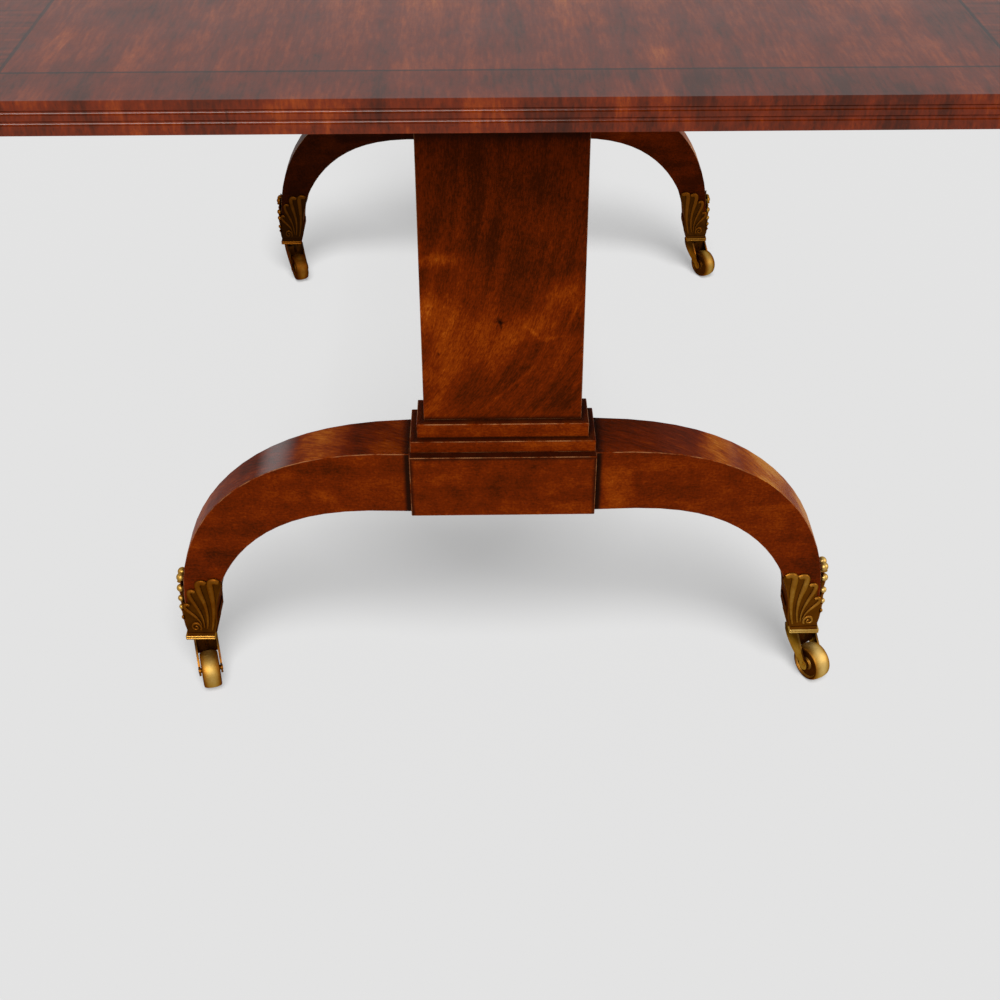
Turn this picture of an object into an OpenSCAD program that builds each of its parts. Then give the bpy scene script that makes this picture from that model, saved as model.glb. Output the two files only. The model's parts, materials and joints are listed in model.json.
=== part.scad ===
// Sofa table with two raised end flaps, two frieze drawers on one long side, dummy
// drawers on the other, two slab columns on arched legs, and brass cups with castors.
// +X runs along the table, the working drawers face -Y, and the castors stand on z = 0.

/* [Top and flaps] */
// Height of the top's surface above the floor
table_h = 720; // [680:1:760]
// Length of the fixed top between the two rule joints
top_len = 1000; // [960:1:1100]
// Depth of the top, front to back
top_depth = 660; // [650:1:720]
// Thickness of the top and of the flaps
top_t = 20; // [18:0.5:24]
// Length of each flap, from its rule joint to its end
flap_len = 240; // [232:1:280]
// Radius of the flaps' outer corners, in plan
flap_corner_r = 42; // [20:1:70]
// Depth of the quirk above the rule joint's round
rule_quirk = 3.5; // [3:0.1:5]
// Gap round the rule joint
rule_gap = 0.7; // [0.5:0.05:1]
// Radius of the reeds' hollows round the edge of the top
reed_r = 1.4; // [0.8:0.1:1.6]
// Distance of each hollow from the middle of the edge
reed_off = 3; // [2.5:0.1:4.5]

/* [Flap hinges] */
// Height of the hinge pin above the underside of the top
hinge_up = 3.2; // [3.1:0.05:3.6]
// Radius of the hinge knuckles
knuckle_r = 3; // [2.6:0.05:3]
// Radius of the hinge pins
hinge_pin_r = 1.25; // [1:0.05:1.5]
// Width of a hinge
hinge_w = 38; // [30:1:48]
// Thickness of a hinge leaf
leaf_t = 2; // [1.5:0.1:2.4]
// Length of the short leaf, on the top
plate_len = 26; // [20:1:34]
// Length of the long leaf, on the flap
strap_len = 50; // [40:1:60]
// Distance of the outer hinges from the middle one
hinge_step = 220; // [180:1:260]

/* [Frieze] */
// Height of the frieze
frieze_h = 100; // [94:1:110]
// Overhang of the top over the frieze's long faces
overhang = 30; // [27:1:40]
// Gap between a hanging flap's line and the frieze end
end_setback = 8; // [6:0.5:14]
// Thickness of an end rail
end_rail_t = 22; // [18:1:24]
// Width of a corner post, across the table
post_w = 22; // [20:1:28]
// Thickness of the rails over and under the drawers
rail_t = 16; // [13:0.5:18]
// Depth of those rails, front to back
rail_depth = 60; // [50:1:80]
// Thickness of the back rail
back_rail_t = 28; // [24:1:32]
// Thickness of the partition between the drawers
partition_t = 22; // [18:1:28]
// Width of a runner
runner_w = 20; // [15:1:28]
// Thickness of a runner
runner_t = 12; // [9:0.5:13]

/* [Drawers] */
// Gap at each side of a drawer
drawer_gap = 0.8; // [0.5:0.1:1.2]
// Gap over the runners
runner_gap = 0.3; // [0.2:0.05:0.4]
// Thickness of a drawer front
front_t = 20; // [17:0.5:24]
// Thickness of the drawer sides and back
lining_t = 9; // [7:0.5:11]
// Thickness of a drawer bottom
bottom_t = 6; // [5:0.5:8]
// Depth of the grooves that hold a drawer bottom
groove = 4; // [2:0.5:5]
// Length of a drawer, front to back
drawer_len = 480; // [420:1:530]
// Height of the drawer sides
side_h = 58; // [50:1:60]
// Width of the cock bead
bead_w = 3; // [2.4:0.1:3.6]
// Depth of the rebate that the cock bead sits in
bead_in = 8; // [6:0.5:10]
// Wood left between a dovetail and the cock bead
tail_lap = 1; // [0.6:0.1:2]
// Thickness of a dummy drawer front
dummy_t = 8; // [6:0.5:10]
// Distance between the two knobs of a drawer
knob_step = 250; // [200:1:300]
// Radius of a knob
knob_r = 13; // [11:0.5:15]
// How far a knob stands out
knob_out = 22; // [18:0.5:24]
// Radius of a knob's screw shank
shank_r = 2.5; // [2:0.1:3]

/* [Fly brackets] */
// Thickness of the fly rail that the brackets are cut from
fly_t = 20; // [18:0.5:22]
// Distance from the middle of the end to a bracket's pin
fly_pin_y = 74; // [64:1:90]
// Radius of a bracket pin
fly_pin_r = 2.5; // [2:0.1:3]
// Height of a bracket at its knuckle
bracket_h = 78; // [70:1:84]
// Height of a bracket at its tip
bracket_tip_h = 30; // [24:1:36]
// Gap between moving wood and fixed wood
wood_gap = 0.4; // [0.3:0.05:0.6]

/* [Columns and bearers] */
// Distance between the middles of the two supports
support_span = 856; // [830:1:870]
// Thickness of a bearer
bearer_h = 15; // [12:1:30]
// Width of a bearer, along the table
bearer_w = 66; // [56:1:76]
// Length of a bearer, across the table
bearer_len = 520; // [480:1:560]
// Width of a column at its foot
column_w_foot = 140; // [130:1:146]
// Width of a column at its head
column_w_head = 137.4; // [124:0.2:146]
// Thickness of a column
column_t = 26; // [24:0.5:30]
// Width of the upper step under a column
upper_step_w = 153; // [149:0.5:156]
// Thickness of the upper step, along the table
upper_step_t = 41; // [38:0.5:44]
// Height of the upper step
upper_step_h = 14.4; // [10:0.2:18]
// Width of the lower step
lower_step_w = 165.6; // [160:0.2:167]
// Thickness of the lower step, along the table
lower_step_t = 53.4; // [48:0.2:60]
// Height of the lower step
lower_step_h = 12; // [9:0.2:16]
// Length of a column's tenon into the block
tenon_len = 50; // [40:1:60]
// Radius of the stretcher between its rings
stretcher_r = 13; // [10:0.5:16]
// Height of the stretcher's middle below the bearers
stretcher_drop = 70; // [50:1:110]

/* [Arched legs] */
// Distance between the middles of a support's two feet
foot_span = 600; // [570:1:606]
// Width of a foot at the bottom of its cup
foot_w = 23.5; // [22:0.5:26]
// How much wider a foot grows on its inner side, up to where the arch springs
foot_spread = 6.2; // [4:0.1:7]
// How much a foot draws in on its outer side, up to where the arch springs
foot_waist = 1.2; // [0.5:0.1:2]
// Rise of the arch's top above the bottom of the cups
arch_rise = 229.4; // [210:0.2:250]
// Height of the legs and block where they meet
arch_h = 64; // [56:0.5:72]
// Thickness of a leg at the block, along the table
arch_t = 57; // [50:0.5:62]
// Thickness of a leg at the middle of its foot
foot_t = 33.4; // [30:0.2:38]
// Width of the block, across the table
block_w = 167.4; // [167.2:0.1:180]
// How far the block stands proud of the legs
block_proud = 6; // [3:0.5:8]
// Length of the tenon from a leg into the block
leg_tenon = 28; // [20:1:34]

/* [Cups] */
// Height of the cup's tallest lobe above its bottom
cup_h = 78.5; // [72:0.5:82]
// Thickness of the cup's wall
cup_wall = 1.2; // [1:0.1:1.8]
// Thickness of the cup's floor
cup_floor = 4; // [3:0.5:6]
// Height of the beaded band round the cup's bottom
band_h = 5; // [4:0.5:7]
// How far the band stands out of the cup
band_out = 1.8; // [1:0.1:2.2]
// Depth of the relief on the cup
relief = 1.1; // [0.5:0.1:1.4]
// Height of the curled leaf on the outer side of the cup
leaf_h = 85; // [80:0.5:90]
// Thickness of the curled leaf
blade_t = 2.4; // [1.6:0.1:3]

/* [Castors] */
// Height of the cups' bottoms above the floor
castor_h = 54; // [50:0.5:60]
// Radius of a wheel
wheel_r = 19; // [16:0.5:20]
// Width of a wheel
wheel_w = 18; // [14:0.5:20]
// How far a wheel trails behind its pintle
trail = 25; // [20:0.5:30]
// Radius of an axle
axle_r = 2.5; // [2:0.1:3.5]
// Gap between a wheel and a cheek
cheek_gap = 0.9; // [0.6:0.1:2]
// Thickness of a cheek
cheek_t = 2; // [1.6:0.1:3]
// Gap between a wheel and the neck over it
neck_gap = 4; // [2:0.5:6]
// Radius of the pintle
pintle_r = 4; // [3:0.1:5]

/* [Hidden] */
$fn = 48;
eps = 0.01;
LEFT = -1;
RIGHT = 1;
FRONT = -1;
BACK = 1;
WOOD = [0.46, 0.19, 0.08];
LINING = [0.66, 0.5, 0.32];
BRASS = [0.72, 0.55, 0.24];
STEEL = [0.5, 0.5, 0.52];
run_gap = 0.05;

// Heights, from the top down and from the floor up
under_z = table_h - top_t;
frieze_z = under_z - frieze_h;
column_top = frieze_z - bearer_h;
hinge_z = under_z + hinge_up;
arch_top = castor_h + arch_rise;
lower_step_z = arch_top;
upper_step_z = lower_step_z + lower_step_h;
column_z = upper_step_z + upper_step_h;
stretcher_z = column_top - stretcher_drop;

// Places along the table
hinge_x = top_len / 2;
rule_r = top_t - rule_quirk - hinge_up;
end_out = hinge_x - end_setback;
end_face = end_out - fly_t;
end_in = end_face - end_rail_t;
support_x = support_span / 2;
fly_x = end_out - fly_t / 2;

// Places across the table
frieze_depth = top_depth - 2 * overhang;
face_y = frieze_depth / 2;
back_in = face_y - back_rail_t;
foot_y = foot_span / 2;
block_y = block_w / 2;

// Drawer openings
open_x = partition_t / 2;
open_z = frieze_z + rail_t;
open_h = frieze_h - 2 * rail_t;
front_w = end_in - open_x - 2 * drawer_gap;
front_z = open_z + runner_gap;
front_h = open_h - runner_gap - drawer_gap;
front_mid_x = (open_x + end_in) / 2;
front_back_y = front_t - face_y;
box_x0 = open_x + drawer_gap;
box_x1 = box_x0 + front_w;
box_back_y = drawer_len - face_y;
knob_z = front_z + front_h / 2;
groove_z = front_z + bottom_t;
tail_len = front_t - bead_in - tail_lap;

// Draws a box from its lowest to its highest corner
module span(lo, hi) {
    translate(lo) cube(hi - lo);
}

// Puts a piece drawn at the right-hand end at either end
module at_end(end) {
    mirror([end < 0 ? 1 : 0, 0, 0]) children();
}

// Puts a piece drawn at the back at either long side
module at_side(side) {
    mirror([0, side < 0 ? 1 : 0, 0]) children();
}

// Lies a cylinder along Y, from y0 to y1
module rod_y(x, z, r, y0, y1) {
    translate([x, y1, z]) rotate([90, 0, 0]) cylinder(r = r, h = y1 - y0);
}

// Lies a cylinder along X, from x0 to x1
module rod_x(y, z, r, x0, x1) {
    translate([x0, y, z]) rotate([0, 90, 0]) cylinder(r = r, h = x1 - x0);
}

// Stands a cylinder on the spot, from z0 to z1
module rod_z(r, z0, z1) {
    translate([0, 0, z0]) cylinder(r = r, h = z1 - z0);
}

// The top and its flaps

// Hollows that leave three reeds along one long side
module reed_side(y, x0, x1) {
    for (k = [-1, 1]) rod_x(y, table_h - top_t / 2 + k * reed_off, reed_r, x0, x1);
}

// Places of the three hinges across the table
hinge_ys = [-hinge_step, 0, hinge_step];
strap_room = hinge_w / 2 + wood_gap;

module top_end() {
    intersection() {
        rod_y(hinge_x, hinge_z, rule_r, -top_depth / 2, top_depth / 2);
        span([hinge_x - eps, -top_depth / 2, hinge_z],
             [hinge_x + rule_r, top_depth / 2, hinge_z + rule_r]);
    }
    span([hinge_x - eps, -top_depth / 2, under_z], [hinge_x + rule_r, top_depth / 2, hinge_z]);
}

// Room in the top for a hinge: its short leaf, its knuckles and its long leaf's root
module hinge_bed(y) {
    span([hinge_x - plate_len, y - hinge_w / 2, under_z - 1],
         [hinge_x, y + hinge_w / 2, under_z + leaf_t]);
    rod_y(hinge_x, hinge_z, knuckle_r + wood_gap, y - strap_room, y + strap_room);
    span([hinge_x - knuckle_r - wood_gap, y - strap_room, under_z - 1],
         [hinge_x + knuckle_r + wood_gap, y + strap_room, hinge_z]);
    span([hinge_x, y - strap_room, under_z - 1],
         [hinge_x + rule_r + 1, y + strap_room, under_z + leaf_t + wood_gap]);
}

module top_board() {
    color(WOOD) difference() {
        union() {
            span([-hinge_x, -top_depth / 2, under_z], [hinge_x, top_depth / 2, table_h]);
            for (end = [LEFT, RIGHT]) at_end(end) top_end();
        }
        for (side = [FRONT, BACK])
            reed_side(side * top_depth / 2, -hinge_x - rule_r - 1, hinge_x + rule_r + 1);
        for (end = [LEFT, RIGHT], y = hinge_ys) at_end(end) hinge_bed(y);
    }
}

flap_end = hinge_x + flap_len;
flap_start = hinge_x + rule_gap;
flap_corner_x = flap_end - flap_corner_r;
flap_corner_y = top_depth / 2 - flap_corner_r;

module flap_outline() {
    translate([flap_start, -top_depth / 2]) square([flap_corner_x - flap_start, top_depth]);
    translate([flap_corner_x - eps, -flap_corner_y])
        square([flap_corner_r + eps, 2 * flap_corner_y]);
    for (side = [FRONT, BACK])
        translate([flap_corner_x, side * flap_corner_y]) circle(r = flap_corner_r);
}

// Hollows that carry the reeds round a flap
module flap_reeds() {
    for (side = [FRONT, BACK]) {
        reed_side(side * top_depth / 2, hinge_x - 1, flap_corner_x);
        for (k = [-1, 1])
            translate([flap_corner_x, side * flap_corner_y, table_h - top_t / 2 + k * reed_off])
                rotate([0, 0, side > 0 ? 0 : -90])
                    rotate_extrude(angle = 90) translate([flap_corner_r, 0]) circle(r = reed_r);
    }
    for (k = [-1, 1])
        rod_y(flap_end, table_h - top_t / 2 + k * reed_off, reed_r, -flap_corner_y, flap_corner_y);
}

module flap(end) {
    cove_r = rule_r + rule_gap;
    color(WOOD) at_end(end) difference() {
        translate([0, 0, under_z]) linear_extrude(top_t) flap_outline();
        rod_y(hinge_x, hinge_z, cove_r, -top_depth, top_depth);
        span([hinge_x - 1, -top_depth, under_z - 1], [hinge_x + cove_r, top_depth, hinge_z]);
        for (y = hinge_ys)
            span([hinge_x, y - hinge_w / 2, under_z - 1],
                 [hinge_x + strap_len, y + hinge_w / 2, under_z + leaf_t]);
        flap_reeds();
    }
}

// The flap hinges: three knuckles on one pin, the middle one on the short leaf

knuckle_w = hinge_w / 3;
knuckle_gap = 0.3;

module hinge_leaf(y, reach, knuckles, bore_r) {
    sign = reach > 0 ? 1 : -1;
    root = sign * (knuckle_r + 1);
    difference() {
        union() {
            translate([hinge_x + min(root, reach), y - hinge_w / 2, under_z])
                cube([abs(reach - root), hinge_w, leaf_t]);
            for (k = knuckles) {
                y0 = y + k * knuckle_w - knuckle_w / 2 + knuckle_gap / 2;
                rod_y(hinge_x, hinge_z, knuckle_r, y0, y0 + knuckle_w - knuckle_gap);
                translate([hinge_x + min(0, root), y0, under_z + hinge_up - knuckle_r])
                    cube([abs(root) + eps, knuckle_w - knuckle_gap, leaf_t - hinge_up + knuckle_r]);
            }
        }
        rod_y(hinge_x, hinge_z, bore_r, y - hinge_w, y + hinge_w);
    }
}

module hinge_plates() {
    color(BRASS) for (end = [LEFT, RIGHT], y = hinge_ys)
        at_end(end) hinge_leaf(y, -plate_len, [0], hinge_pin_r);
}

module hinge_straps(end) {
    color(BRASS) for (y = hinge_ys)
        at_end(end) hinge_leaf(y, strap_len, [-1, 1], hinge_pin_r + run_gap);
}

module hinge_pins() {
    color(STEEL) for (end = [LEFT, RIGHT], y = hinge_ys)
        at_end(end) rod_y(hinge_x, hinge_z, hinge_pin_r, y - hinge_w / 2, y + hinge_w / 2);
}

// The frieze

module end_rail(end) {
    color(WOOD) at_end(end)
        span([end_in, post_w - face_y, frieze_z], [end_face, face_y - post_w, under_z]);
}

module corner_posts() {
    color(WOOD) for (end = [LEFT, RIGHT], side = [FRONT, BACK])
        at_end(end) at_side(side)
            span([end_in, face_y - post_w, frieze_z], [end_out, face_y, under_z]);
}

// Shallow pocket for a dummy drawer front, less a cut all round
module dummy_block(cut) {
    translate([box_x0 + cut, face_y - dummy_t, front_z + cut])
        cube([front_w - 2 * cut, dummy_t + (cut > 0 ? 0 : 1), front_h - 2 * cut]);
}

module back_rail() {
    color(WOOD) difference() {
        span([-end_in, back_in, frieze_z], [end_in, face_y, under_z]);
        for (end = [LEFT, RIGHT]) at_end(end) {
            dummy_block(0);
            knob_holes(BACK);
        }
    }
}

module dummy_front(end) {
    color(WOOD) at_end(end) difference() {
        dummy_block(bead_w);
        knob_holes(BACK);
    }
}

module drawer_rail(z) {
    color(WOOD) span([-end_in, -face_y, z], [end_in, rail_depth - face_y, z + rail_t]);
}

module partition() {
    color(WOOD) {
        span([-open_x, -face_y, open_z], [open_x, rail_depth - face_y + eps, open_z + open_h]);
        span([-open_x, rail_depth - face_y, frieze_z], [open_x, back_in, under_z]);
    }
}

// Strips that carry each drawer, and strips over it that keep it level
module runners() {
    color(LINING) for (end = [LEFT, RIGHT]) at_end(end)
        for (x = [open_x, end_in - runner_w], z = [open_z - runner_t, open_z + open_h])
            span([x, rail_depth - face_y, z], [x + runner_w, back_in, z + runner_t]);
}

// The half-round cock bead, drawn at the front of the right-hand drawer
module bead(side) {
    x0 = box_x0;
    x1 = box_x1;
    z0 = front_z;
    z1 = z0 + front_h;
    r = bead_w / 2;
    at_side(side) {
        difference() {
            span([x0, face_y - bead_in, z0], [x1, face_y, z1]);
            span([x0 + bead_w, face_y - bead_in - 1, z0 + bead_w],
                 [x1 - bead_w, face_y + 1, z1 - bead_w]);
        }
        for (z = [z0 + r, z1 - r]) rod_x(face_y, z, r, x0 + r, x1 - r);
        for (x = [x0 + r, x1 - r]) {
            translate([x, face_y, z0 + r]) cylinder(r = r, h = front_h - bead_w);
            for (z = [z0 + r, z1 - r]) translate([x, face_y, z]) sphere(r = r);
        }
    }
}

module dummy_beads() {
    color(WOOD) for (end = [LEFT, RIGHT]) at_end(end) bead(BACK);
}

// A turned knob with its rose, neck, domed head and screw shank
module knob() {
    neck_r = knob_r * 0.4;
    head_h = knob_r * 0.85;
    rotate([-90, 0, 0]) {
        rotate_extrude() {
            square([knob_r * 0.82, 1.6]);
            translate([0, 1.6]) square([knob_r * 0.6, 1.4]);
            square([neck_r, knob_out - head_h / 2]);
            translate([0, knob_out - head_h / 2]) polygon([
                for (a = [-90 : 15 : 90]) [knob_r * cos(a), head_h / 2 * sin(a)]
            ]);
        }
        translate([0, 0, eps - front_t]) cylinder(r = shank_r, h = front_t);
    }
}

module knob_pair(side) {
    for (k = [-0.5, 0.5]) at_side(side) translate([front_mid_x + k * knob_step, face_y, knob_z])
        knob();
}

module knob_holes(side) {
    for (k = [-0.5, 0.5]) at_side(side)
        rod_y(front_mid_x + k * knob_step, knob_z, shank_r + run_gap, face_y - front_t - 1,
              face_y + 1);
}

module dummy_knobs() {
    color(BRASS) for (end = [LEFT, RIGHT]) at_end(end) knob_pair(BACK);
}

// The drawers, drawn on the right: x grows from the partition to the end rail

// Three dovetails on the end of a drawer side that starts at x
module tails(x) {
    n = 3;
    pitch = side_h / n;
    translate([x, 0, 0]) rotate([90, 0, 90]) linear_extrude(lining_t)
        for (k = [0 : n - 1]) {
            z = front_z + (k + 0.5) * pitch;
            root = pitch * 0.3;
            tip = pitch * 0.38;
            polygon([
                [front_back_y + eps, z - root], [front_back_y - tail_len, z - tip],
                [front_back_y - tail_len, z + tip], [front_back_y + eps, z + root]
            ]);
        }
}

// The bottom board, let into the front and the sides
module bottom_board() {
    span([box_x0 + lining_t - groove, front_back_y - groove, groove_z],
         [box_x1 - lining_t + groove, box_back_y, groove_z + bottom_t]);
}

module drawer_front(end) {
    color(WOOD) at_end(end) difference() {
        union() {
            span([box_x0 + bead_w, -face_y, front_z + bead_w],
                 [box_x1 - bead_w, bead_in - face_y, front_z + front_h - bead_w]);
            span([box_x0, bead_in - face_y, front_z], [box_x1, front_back_y, front_z + front_h]);
        }
        tails(box_x0);
        tails(box_x1 - lining_t);
        bottom_board();
        knob_holes(FRONT);
    }
}

module drawer_sides(end) {
    color(LINING) at_end(end) for (x = [box_x0, box_x1 - lining_t]) {
        difference() {
            union() {
                span([x, front_back_y, front_z], [x + lining_t, box_back_y, front_z + side_h]);
                tails(x);
            }
            bottom_board();
        }
    }
}

module drawer_back(end) {
    color(LINING) at_end(end)
        span([box_x0 + lining_t, box_back_y - lining_t, groove_z + bottom_t],
             [box_x1 - lining_t, box_back_y, front_z + side_h]);
}

module drawer_bottom(end) {
    color(LINING) at_end(end) bottom_board();
}

module drawer_bead(end) {
    color(WOOD) at_end(end) bead(FRONT);
}

module drawer_knobs(end) {
    color(BRASS) at_end(end) knob_pair(FRONT);
}

// The fly rail: a fixed block with a bracket hinged on a wooden knuckle at each side

FINGERS = 5;
barrel_r = fly_t / 2 - wood_gap;
bracket_top = under_z - wood_gap;
bracket_z = bracket_top - bracket_h;
finger_h = bracket_h / FINGERS;
tip_gap = 1.5;
bracket_tip_y = face_y - post_w - tip_gap;

// Fingers of the knuckle: the even ones are fixed, the odd ones are the bracket's
module fingers(first, r, grow) {
    for (k = [first : 2 : FINGERS - 1])
        translate([fly_x, fly_pin_y, bracket_z + k * finger_h - grow])
            cylinder(r = r, h = finger_h + 2 * grow);
}

// Wedge that clears the outer corner of the knuckle, so that a bracket turns square.
// It lies on the side of the pin that dir points to.
module knuckle_wedge(dir, z0, z1) {
    reach = fly_t;
    translate([fly_x, fly_pin_y, z0]) linear_extrude(z1 - z0)
        polygon([[0, 0], [reach, 0], [reach, dir * (reach + wood_gap)], [0, dir * wood_gap]]);
}

module pin_bore(r) {
    translate([fly_x, fly_pin_y, frieze_z - 1]) cylinder(r = r, h = frieze_h);
}

module fly_block(end) {
    color(WOOD) at_end(end) difference() {
        union() {
            difference() {
                span([end_face, -fly_pin_y, frieze_z], [end_out, fly_pin_y, under_z]);
                for (side = [FRONT, BACK]) at_side(side) {
                    knuckle_wedge(-1, frieze_z - 1, under_z + 1);
                    translate([0, fly_pin_y - barrel_r / 4, 0])
                        span([end_face - 1, 0, frieze_z - 1],
                             [end_out + 1, barrel_r, bracket_z - wood_gap]);
                    translate([fly_x, fly_pin_y, frieze_z - 1])
                        cylinder(r = barrel_r, h = frieze_h + 2);
                    fingers(1, barrel_r + wood_gap, wood_gap / 2);
                }
            }
            for (side = [FRONT, BACK]) at_side(side) fingers(0, barrel_r, -wood_gap / 2);
        }
        for (side = [FRONT, BACK]) at_side(side) pin_bore(fly_pin_r);
    }
}

// A bracket's outline: straight along the top, an ogee under it
module bracket_outline() {
    len = bracket_tip_y - fly_pin_y;
    rise = bracket_h - bracket_tip_h;
    flat = len * 0.22;
    run = len - flat - len * 0.12;
    polygon(concat(
        [[0, bracket_top], [0, bracket_z], [flat, bracket_z]],
        [for (t = [0.1 : 0.1 : 1]) [flat + run * t, bracket_z + rise * (1 - cos(180 * t)) / 2]],
        [[len, bracket_z + rise + bracket_tip_h * 0.3], [len, bracket_top]]
    ));
}

module fly_bracket(end, side) {
    color(WOOD) at_end(end) at_side(side) difference() {
        union() {
            difference() {
                translate([fly_x - barrel_r, fly_pin_y, 0]) rotate([90, 0, 90])
                    linear_extrude(2 * barrel_r) bracket_outline();
                knuckle_wedge(1, bracket_z - 1, bracket_top + 1);
                fingers(0, barrel_r + wood_gap, wood_gap / 2);
            }
            fingers(1, barrel_r, -wood_gap / 2);
        }
        pin_bore(fly_pin_r + run_gap);
    }
}

module bracket_pins() {
    color(STEEL) for (end = [LEFT, RIGHT], side = [FRONT, BACK])
        at_end(end) at_side(side) translate([fly_x, fly_pin_y, frieze_z + 4])
            cylinder(r = fly_pin_r, h = frieze_h - 6);
}

// The supports: bearer, column, stepped plinth and block, centred on support_x

tenon_w = column_w_head * 0.7;
tenon_t = column_t * 0.5;
head_tenon = bearer_h * 0.7;

// Tenon at the head and foot of a column
module column_tenon(z0, z1) {
    span([support_x - tenon_t / 2, -tenon_w / 2, z0], [support_x + tenon_t / 2, tenon_w / 2, z1]);
}

module bearer(end) {
    lip = bearer_h * 0.3;
    sweep = bearer_h - lip;
    color(WOOD) at_end(end) difference() {
        translate([support_x - bearer_w / 2, 0, column_top]) rotate([90, 0, 90])
            linear_extrude(bearer_w) polygon([
                for (s = [-1, 1], a = s < 0 ? [90 : -15 : 0] : [0 : 15 : 90])
                    [s * (bearer_len / 2 - sweep * 1.6 * (1 - sin(a))), sweep * (1 - cos(a))],
                [bearer_len / 2, bearer_h], [-bearer_len / 2, bearer_h]
            ]);
        column_tenon(column_top - 1, column_top + head_tenon);
    }
}

module column(end) {
    color(WOOD) at_end(end) difference() {
        union() {
            translate([support_x - column_t / 2, 0, 0]) rotate([90, 0, 90])
                linear_extrude(column_t) polygon([
                    [-column_w_foot / 2, column_z], [column_w_foot / 2, column_z],
                    [column_w_head / 2, column_top], [-column_w_head / 2, column_top]
                ]);
            column_tenon(column_z - tenon_len, column_z + eps);
            column_tenon(column_top - eps, column_top + head_tenon);
        }
        rod_x(0, stretcher_z, peg_r, support_x - column_t, support_x - column_t / 2 + peg_len);
    }
}

module step_plate(w, t, z, h) {
    span([support_x - t / 2, -w / 2, z], [support_x + t / 2, w / 2, z + h]);
}

module plinth(end) {
    color(WOOD) at_end(end) difference() {
        union() {
            step_plate(lower_step_w, lower_step_t, lower_step_z, lower_step_h);
            step_plate(upper_step_w, upper_step_t, upper_step_z - eps, upper_step_h + eps);
        }
        column_tenon(lower_step_z - 1, column_z + 1);
    }
}

// A block reaches a little lower than the legs that meet it
block_h = arch_h + 0.8;

module block(end) {
    color(WOOD) at_end(end) difference() {
        step_plate(block_w, arch_t + 2 * block_proud, arch_top - block_h, block_h);
        column_tenon(column_z - tenon_len, arch_top + 1);
        for (side = [FRONT, BACK]) at_side(side) leg_dovetail();
    }
}

// The turned stretcher, with a pair of rings near each end and one in the middle

peg_r = stretcher_r * 0.7;
peg_len = column_t * 0.6;

module ring_turning(z) {
    big = stretcher_r * 0.42;
    translate([stretcher_r * 0.9, z]) circle(r = big);
    for (s = [-1, 1]) translate([stretcher_r * 0.9, z + s * big * 1.35]) circle(r = big * 0.5);
}

module stretcher() {
    half = support_x - column_t / 2;
    color(WOOD) translate([-half, 0, stretcher_z]) rotate([0, 90, 0]) {
        rotate_extrude() {
            polygon([
                [0, 0], [stretcher_r * 1.25, 0], [stretcher_r * 1.25, stretcher_r * 0.6],
                [stretcher_r * 0.85, stretcher_r], [stretcher_r, half],
                [stretcher_r * 0.85, 2 * half - stretcher_r],
                [stretcher_r * 1.25, 2 * half - stretcher_r * 0.6],
                [stretcher_r * 1.25, 2 * half], [0, 2 * half]
            ]);
            for (z = [half * 0.16, half, half * 1.84]) ring_turning(z);
        }
        translate([0, 0, -peg_len]) cylinder(r = peg_r, h = 2 * half + 2 * peg_len);
    }
}

// The arched legs. Each side of a leg is a quarter of a rounded ellipse that springs
// from the foot and lies level at the block. The numbers are the two exponents.
// Under the springs a foot tapers in straight lines to the width of the cup's bottom.

OUTER_CURVE = [2.5, 2.2];
INNER_CURVE = [3, 1.7];
spring_out = 35;
spring_in = 26;

function quarter(a, b, e, n = 18) = [
    for (k = [0 : n]) let (t = 90 * k / n) [a * pow(sin(t), 2 / e[0]), b * pow(cos(t), 2 / e[1])]
];

function outer_side(grow) = let (a = foot_y + foot_w / 2 - foot_waist - block_y + grow,
                                 b = arch_rise - spring_out + grow)
    [for (p = quarter(a, b, OUTER_CURVE)) [block_y + p[0], castor_h + spring_out + p[1]]];

function inner_side(grow) = let (a = foot_y - foot_w / 2 - foot_spread - block_y - grow,
                                 b = arch_rise - arch_h - spring_in - grow)
    [for (p = quarter(a, b, INNER_CURVE)) [block_y + p[0], castor_h + spring_in + p[1]]];

function reversed(list) = [for (k = [len(list) - 1 : -1 : 0]) list[k]];

// Front view of a leg, grown by the wall of a cup, down to the bottom of its cup
module leg_outline(grow) {
    half = foot_w / 2 + grow;
    polygon(concat(
        outer_side(grow),
        [[foot_y + half, castor_h], [foot_y - half, castor_h]],
        reversed(inner_side(grow))
    ));
}

taper = (arch_t - foot_t) / 2 / (foot_y - block_y);

// Half the thickness of a leg at a place across the table
function half_t(y) = arch_t / 2 - taper * (y - block_y);

// Plan of a leg: thick at the block, thin at the foot
module leg_plan(grow, y0, y1) {
    polygon([
        [half_t(y0) + grow, y0], [half_t(y1) + grow, y1],
        [-half_t(y1) - grow, y1], [-half_t(y0) - grow, y0]
    ]);
}

// A leg's solid on the middle of its support, from z0 up
module leg_body(grow, z0) {
    reach = foot_y + foot_w;
    intersection() {
        translate([-arch_t, 0, 0]) rotate([90, 0, 90])
            linear_extrude(2 * arch_t) leg_outline(grow);
        translate([0, 0, z0]) linear_extrude(arch_top + 10 - z0) leg_plan(grow, block_y, reach);
    }
}

// Dovetail that ties a leg into the block
module leg_dovetail() {
    z = arch_top - arch_h * 0.82;
    translate([support_x, 0, z]) linear_extrude(arch_h * 0.64)
        polygon([
            [arch_t * 0.16, block_y + eps], [arch_t * 0.22, block_y - leg_tenon],
            [-arch_t * 0.22, block_y - leg_tenon], [-arch_t * 0.16, block_y + eps]
        ]);
}

foot_z = castor_h + cup_floor;
pintle_room = pintle_r + 2.5;
pintle_top = castor_h + 14;

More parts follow.
